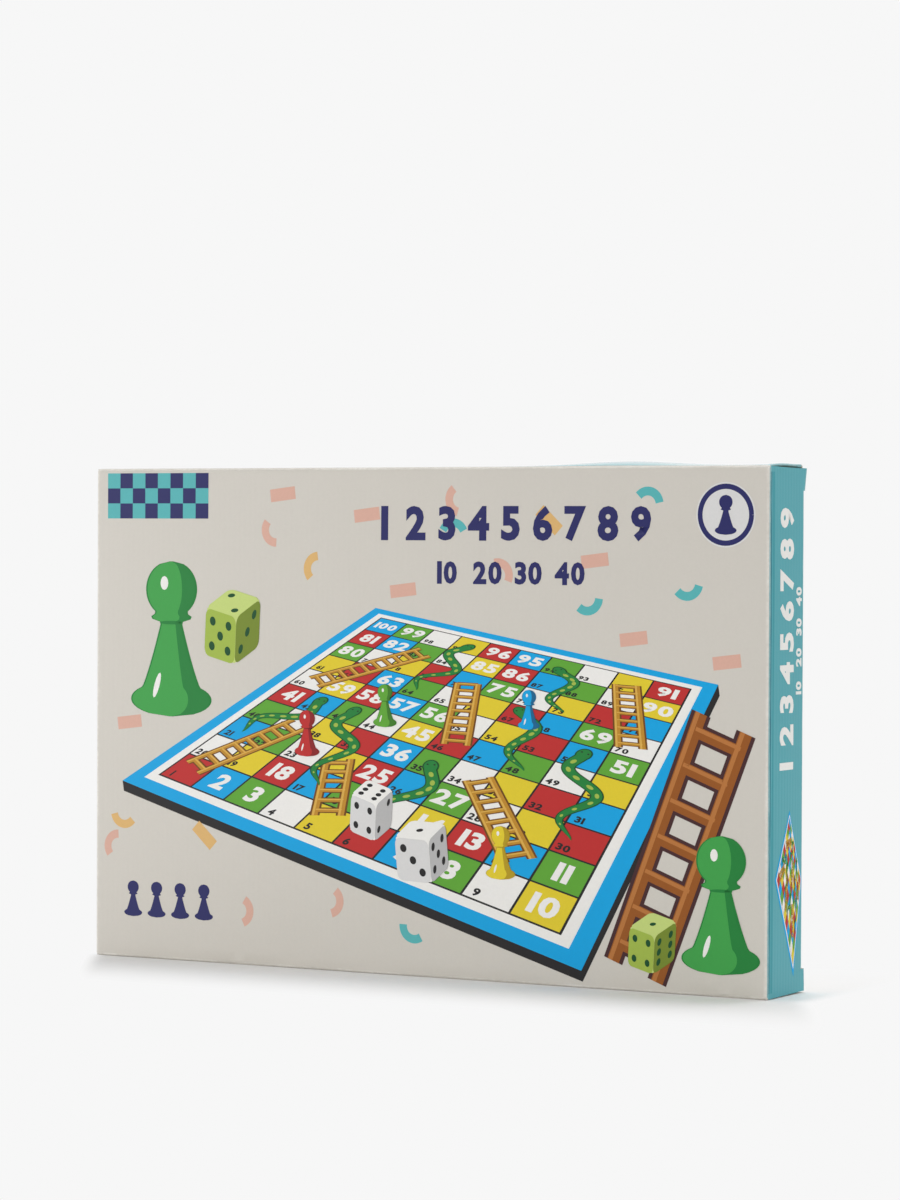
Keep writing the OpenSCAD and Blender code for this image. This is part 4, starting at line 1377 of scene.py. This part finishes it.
def on_leaf(box, face_y, out, folded):
    """A map from board units to a leaf's inner face."""
    low, high = box
    wide = (high[0] - low[0] - 2 * LEAF_MARGIN) / (ROWS + 2 * BORDER)
    tall = (high[2] - low[2] - 2 * LEAF_MARGIN) / (HALF + BORDER)

    def to_leaf(flat, lift):
        """Units times the leaf's width and height per unit, upwards from its margin or down from the fold."""
        up = (ROWS + BORDER - flat[:, 1]) if folded else (flat[:, 1] + BORDER)
        x = low[0] + LEAF_MARGIN + (flat[:, 0] + BORDER) * wide
        y = np.full(len(flat), face_y) + out * THIN_INK * lift
        return np.column_stack([x, y, low[2] + LEAF_MARGIN + up * tall])
    return to_leaf


print_piece("board_lower_half_print", "board", half_print(0),
            on_leaf(back_leaf, back_leaf[0][1], -1, False))
print_piece("board_upper_half_print", "board_front_leaf", half_print(HALF),
            on_leaf(front_leaf, front_leaf[1][1], 1, True))

# %% [markdown]
# Pawns are moulded, so each is a profile turned about its axis: a rounded foot, a cone with hollow sides, a
# collar and a ball. Plastic differs from paper: smooth, glossy, faintly wavy, with one tone all through.

# %% Pawns
PAWN_SHADES = {"red": "#b8302a", "blue": "#2f6db3", "green": "#3f9142", "yellow": "#e2bd2c"}
PAWN_TURNS = 48
FOOT_ROUND, FOOT_EDGE, FOOT_H = 0.6, 0.8, 3.0
NECK_R, CONE_R, CONE_H, CONE_HOLLOW = 2.5, 3.1, 12.3, 1.5
COLLAR_R, COLLAR_ROUND, COLLAR_Z = 3.8, 0.7, 16.0
BALL_R, BALL_FROM, CROWN_GAP = 4.5, -0.95, 0.02
PLASTIC_CLOUD, PLASTIC_FLECK, GLOSS_SCALE, GLOSS_RANGE = 0.10, 0.03, 300.0, (0.16, 0.30)
WAVE_SCALE, WAVE_STRENGTH, WAVE_DISTANCE = 120.0, 0.06, 0.0005


def plastic_material(name, shade):
    """Glossy plastic: a nearly even colour, a roughness that wanders a little and a faint waviness."""
    material, tree, shader = new_material(name)
    waves = {"Height": noise(tree, WAVE_SCALE), "Strength": WAVE_STRENGTH, "Distance": WAVE_DISTANCE}
    set_inputs(tree, shader, {"Base Color": toned(tree, shade, PLASTIC_CLOUD, PLASTIC_FLECK)[0],
                              "Roughness": ranged(tree, noise(tree, GLOSS_SCALE), *GLOSS_RANGE),
                              "Normal": place_node(tree, "Bump", waves).outputs[0]})
    return material


def pawn_profile(foot_r, high):
    """Radius and height from the foot's middle to the crown: two rounds of the foot, cone, collar, ball."""
    bend, t = np.linspace(0, np.pi / 2, 6), np.linspace(0, 1, 16)
    collar, swing = np.linspace(0, np.pi, 8), np.linspace(BALL_FROM, np.pi / 2 - CROWN_GAP, 22)
    pieces = [(foot_r - FOOT_ROUND + FOOT_ROUND * np.sin(bend), FOOT_ROUND - FOOT_ROUND * np.cos(bend)),
              (foot_r - FOOT_EDGE + FOOT_EDGE * np.cos(bend),
               FOOT_H - FOOT_EDGE + FOOT_EDGE * np.sin(bend)),
              (NECK_R + CONE_R * (1 - t) ** CONE_HOLLOW, FOOT_H + CONE_H * t),
              (COLLAR_R + COLLAR_ROUND * np.sin(collar), COLLAR_Z - COLLAR_ROUND * np.cos(collar)),
              (BALL_R * np.cos(swing), high - BALL_R + BALL_R * np.sin(swing))]
    return np.concatenate(pieces, axis=1)


angle = np.linspace(0, 2 * np.pi, PAWN_TURNS, endpoint=False)
for colour, shade in PAWN_SHADES.items():
    low, high = node_box("pawn_" + colour)
    middle = (low + high) / 2
    radius, height = pawn_profile((high[0] - low[0]) / 2, high[2] - low[2])[..., None]
    x, y = middle[0] + radius * np.cos(angle), middle[1] + radius * np.sin(angle)
    turned_grid = np.stack([x, y, np.broadcast_to(low[2] + height, x.shape)], axis=-1)
    add_piece("pawn_" + colour + "_turned", "pawn_" + colour, *capped(turned_grid),
              [plastic_material(colour + "_plastic", shade)], slot=colour + "_plastic",
              stands_for=("pawn_" + colour,))

# %% [markdown]
# A die starts as six square grids. Rounding pushes each point from an inner cube out to a fixed distance, a
# ball cuts the corners, and every pip is a shallow dish, painted black by a value stored in the points.

# %% Dice
DIE_STEPS, DIE_ROUND, DIE_BALL = 64, 0.9, 1.45
PIP_D, PIP_DEPTH, PIP_PITCH = 2.8, 0.5, 4.2
PAINT_EDGE, PAINT_SOFT = 1.02, 0.12
FACE_TURNS = np.radians([[0, 0], [90, 0], [0, 90], [0, -90], [-90, 0], [180, 0]])
FACE_UP = {"die_one": 5, "die_two": 3}


def turn_matrix(about_x, about_y):
    """A turn about X, then about Y."""
    return np.array(Matrix.Rotation(about_y, 3, "Y") @ Matrix.Rotation(about_x, 3, "X"))


def die_face(size, value):
    """One upper face with its dishes, and the share of paint at each point."""
    side = np.linspace(-size / 2, size / 2, DIE_STEPS + 1)
    u, v = np.meshgrid(side, side, indexing="ij")
    flat = np.stack([u, v, np.full_like(u, size / 2)], axis=-1)
    core = np.clip(flat, DIE_ROUND - size / 2, size / 2 - DIE_ROUND)
    out = flat - core
    skin = core + DIE_ROUND * out / np.linalg.norm(out, axis=-1, keepdims=True)
    reach = np.linalg.norm(skin, axis=-1, keepdims=True)
    skin = skin * np.minimum(1, size / 2 * DIE_BALL / reach)
    spots = np.array(PIP_SPOTS[value]) * PIP_PITCH
    away = np.linalg.norm(flat[..., None, :2] - spots, axis=-1).min(axis=-1) / (PIP_D / 2)
    skin[..., 2] -= PIP_DEPTH * np.clip(1 - away ** 2, 0, 1)
    return skin.reshape(-1, 3), np.clip((PAINT_EDGE - away) / PAINT_SOFT, 0, 1).ravel()


def die_material():
    """White plastic with black paint where the stored share says so."""
    material = plastic_material("white_plastic", "#f1efe8")
    tree = material.node_tree
    shader = tree.nodes["Principled BSDF"]
    paint = place_node(tree, "Attribute", attribute_name="pip").outputs["Fac"]
    white = shader.inputs["Base Color"].links[0].from_socket
    set_inputs(tree, shader, {"Base Color": blend(tree, paint, white, "#1c1b1c")})
    return material


white_plastic = die_material()
face_number = numbered(DIE_STEPS + 1, DIE_STEPS + 1)
squares_made = np.vstack([quads(face_number) + i * face_number.size for i in range(6)])
for name, up in FACE_UP.items():
    low, high = node_box(name)
    skins, paints = zip(*(die_face(high[2] - low[2], value) for value in range(1, 7)))
    stand = turn_matrix(*-FACE_TURNS[up - 1])
    points = np.vstack([skin @ (stand @ turn_matrix(*turns)).T for skin, turns in zip(skins, FACE_TURNS)])
    _, first, merged = np.unique(points.round(4), axis=0, return_index=True, return_inverse=True)
    points = points[first] + (low + high) / 2
    faces = outward(points, [merged.ravel()[squares_made]])
    add_piece(name + "_moulded", name, points, faces, [white_plastic],
              values={"pip": np.concatenate(paints)[first]}, slot="white_plastic", stands_for=(name,))
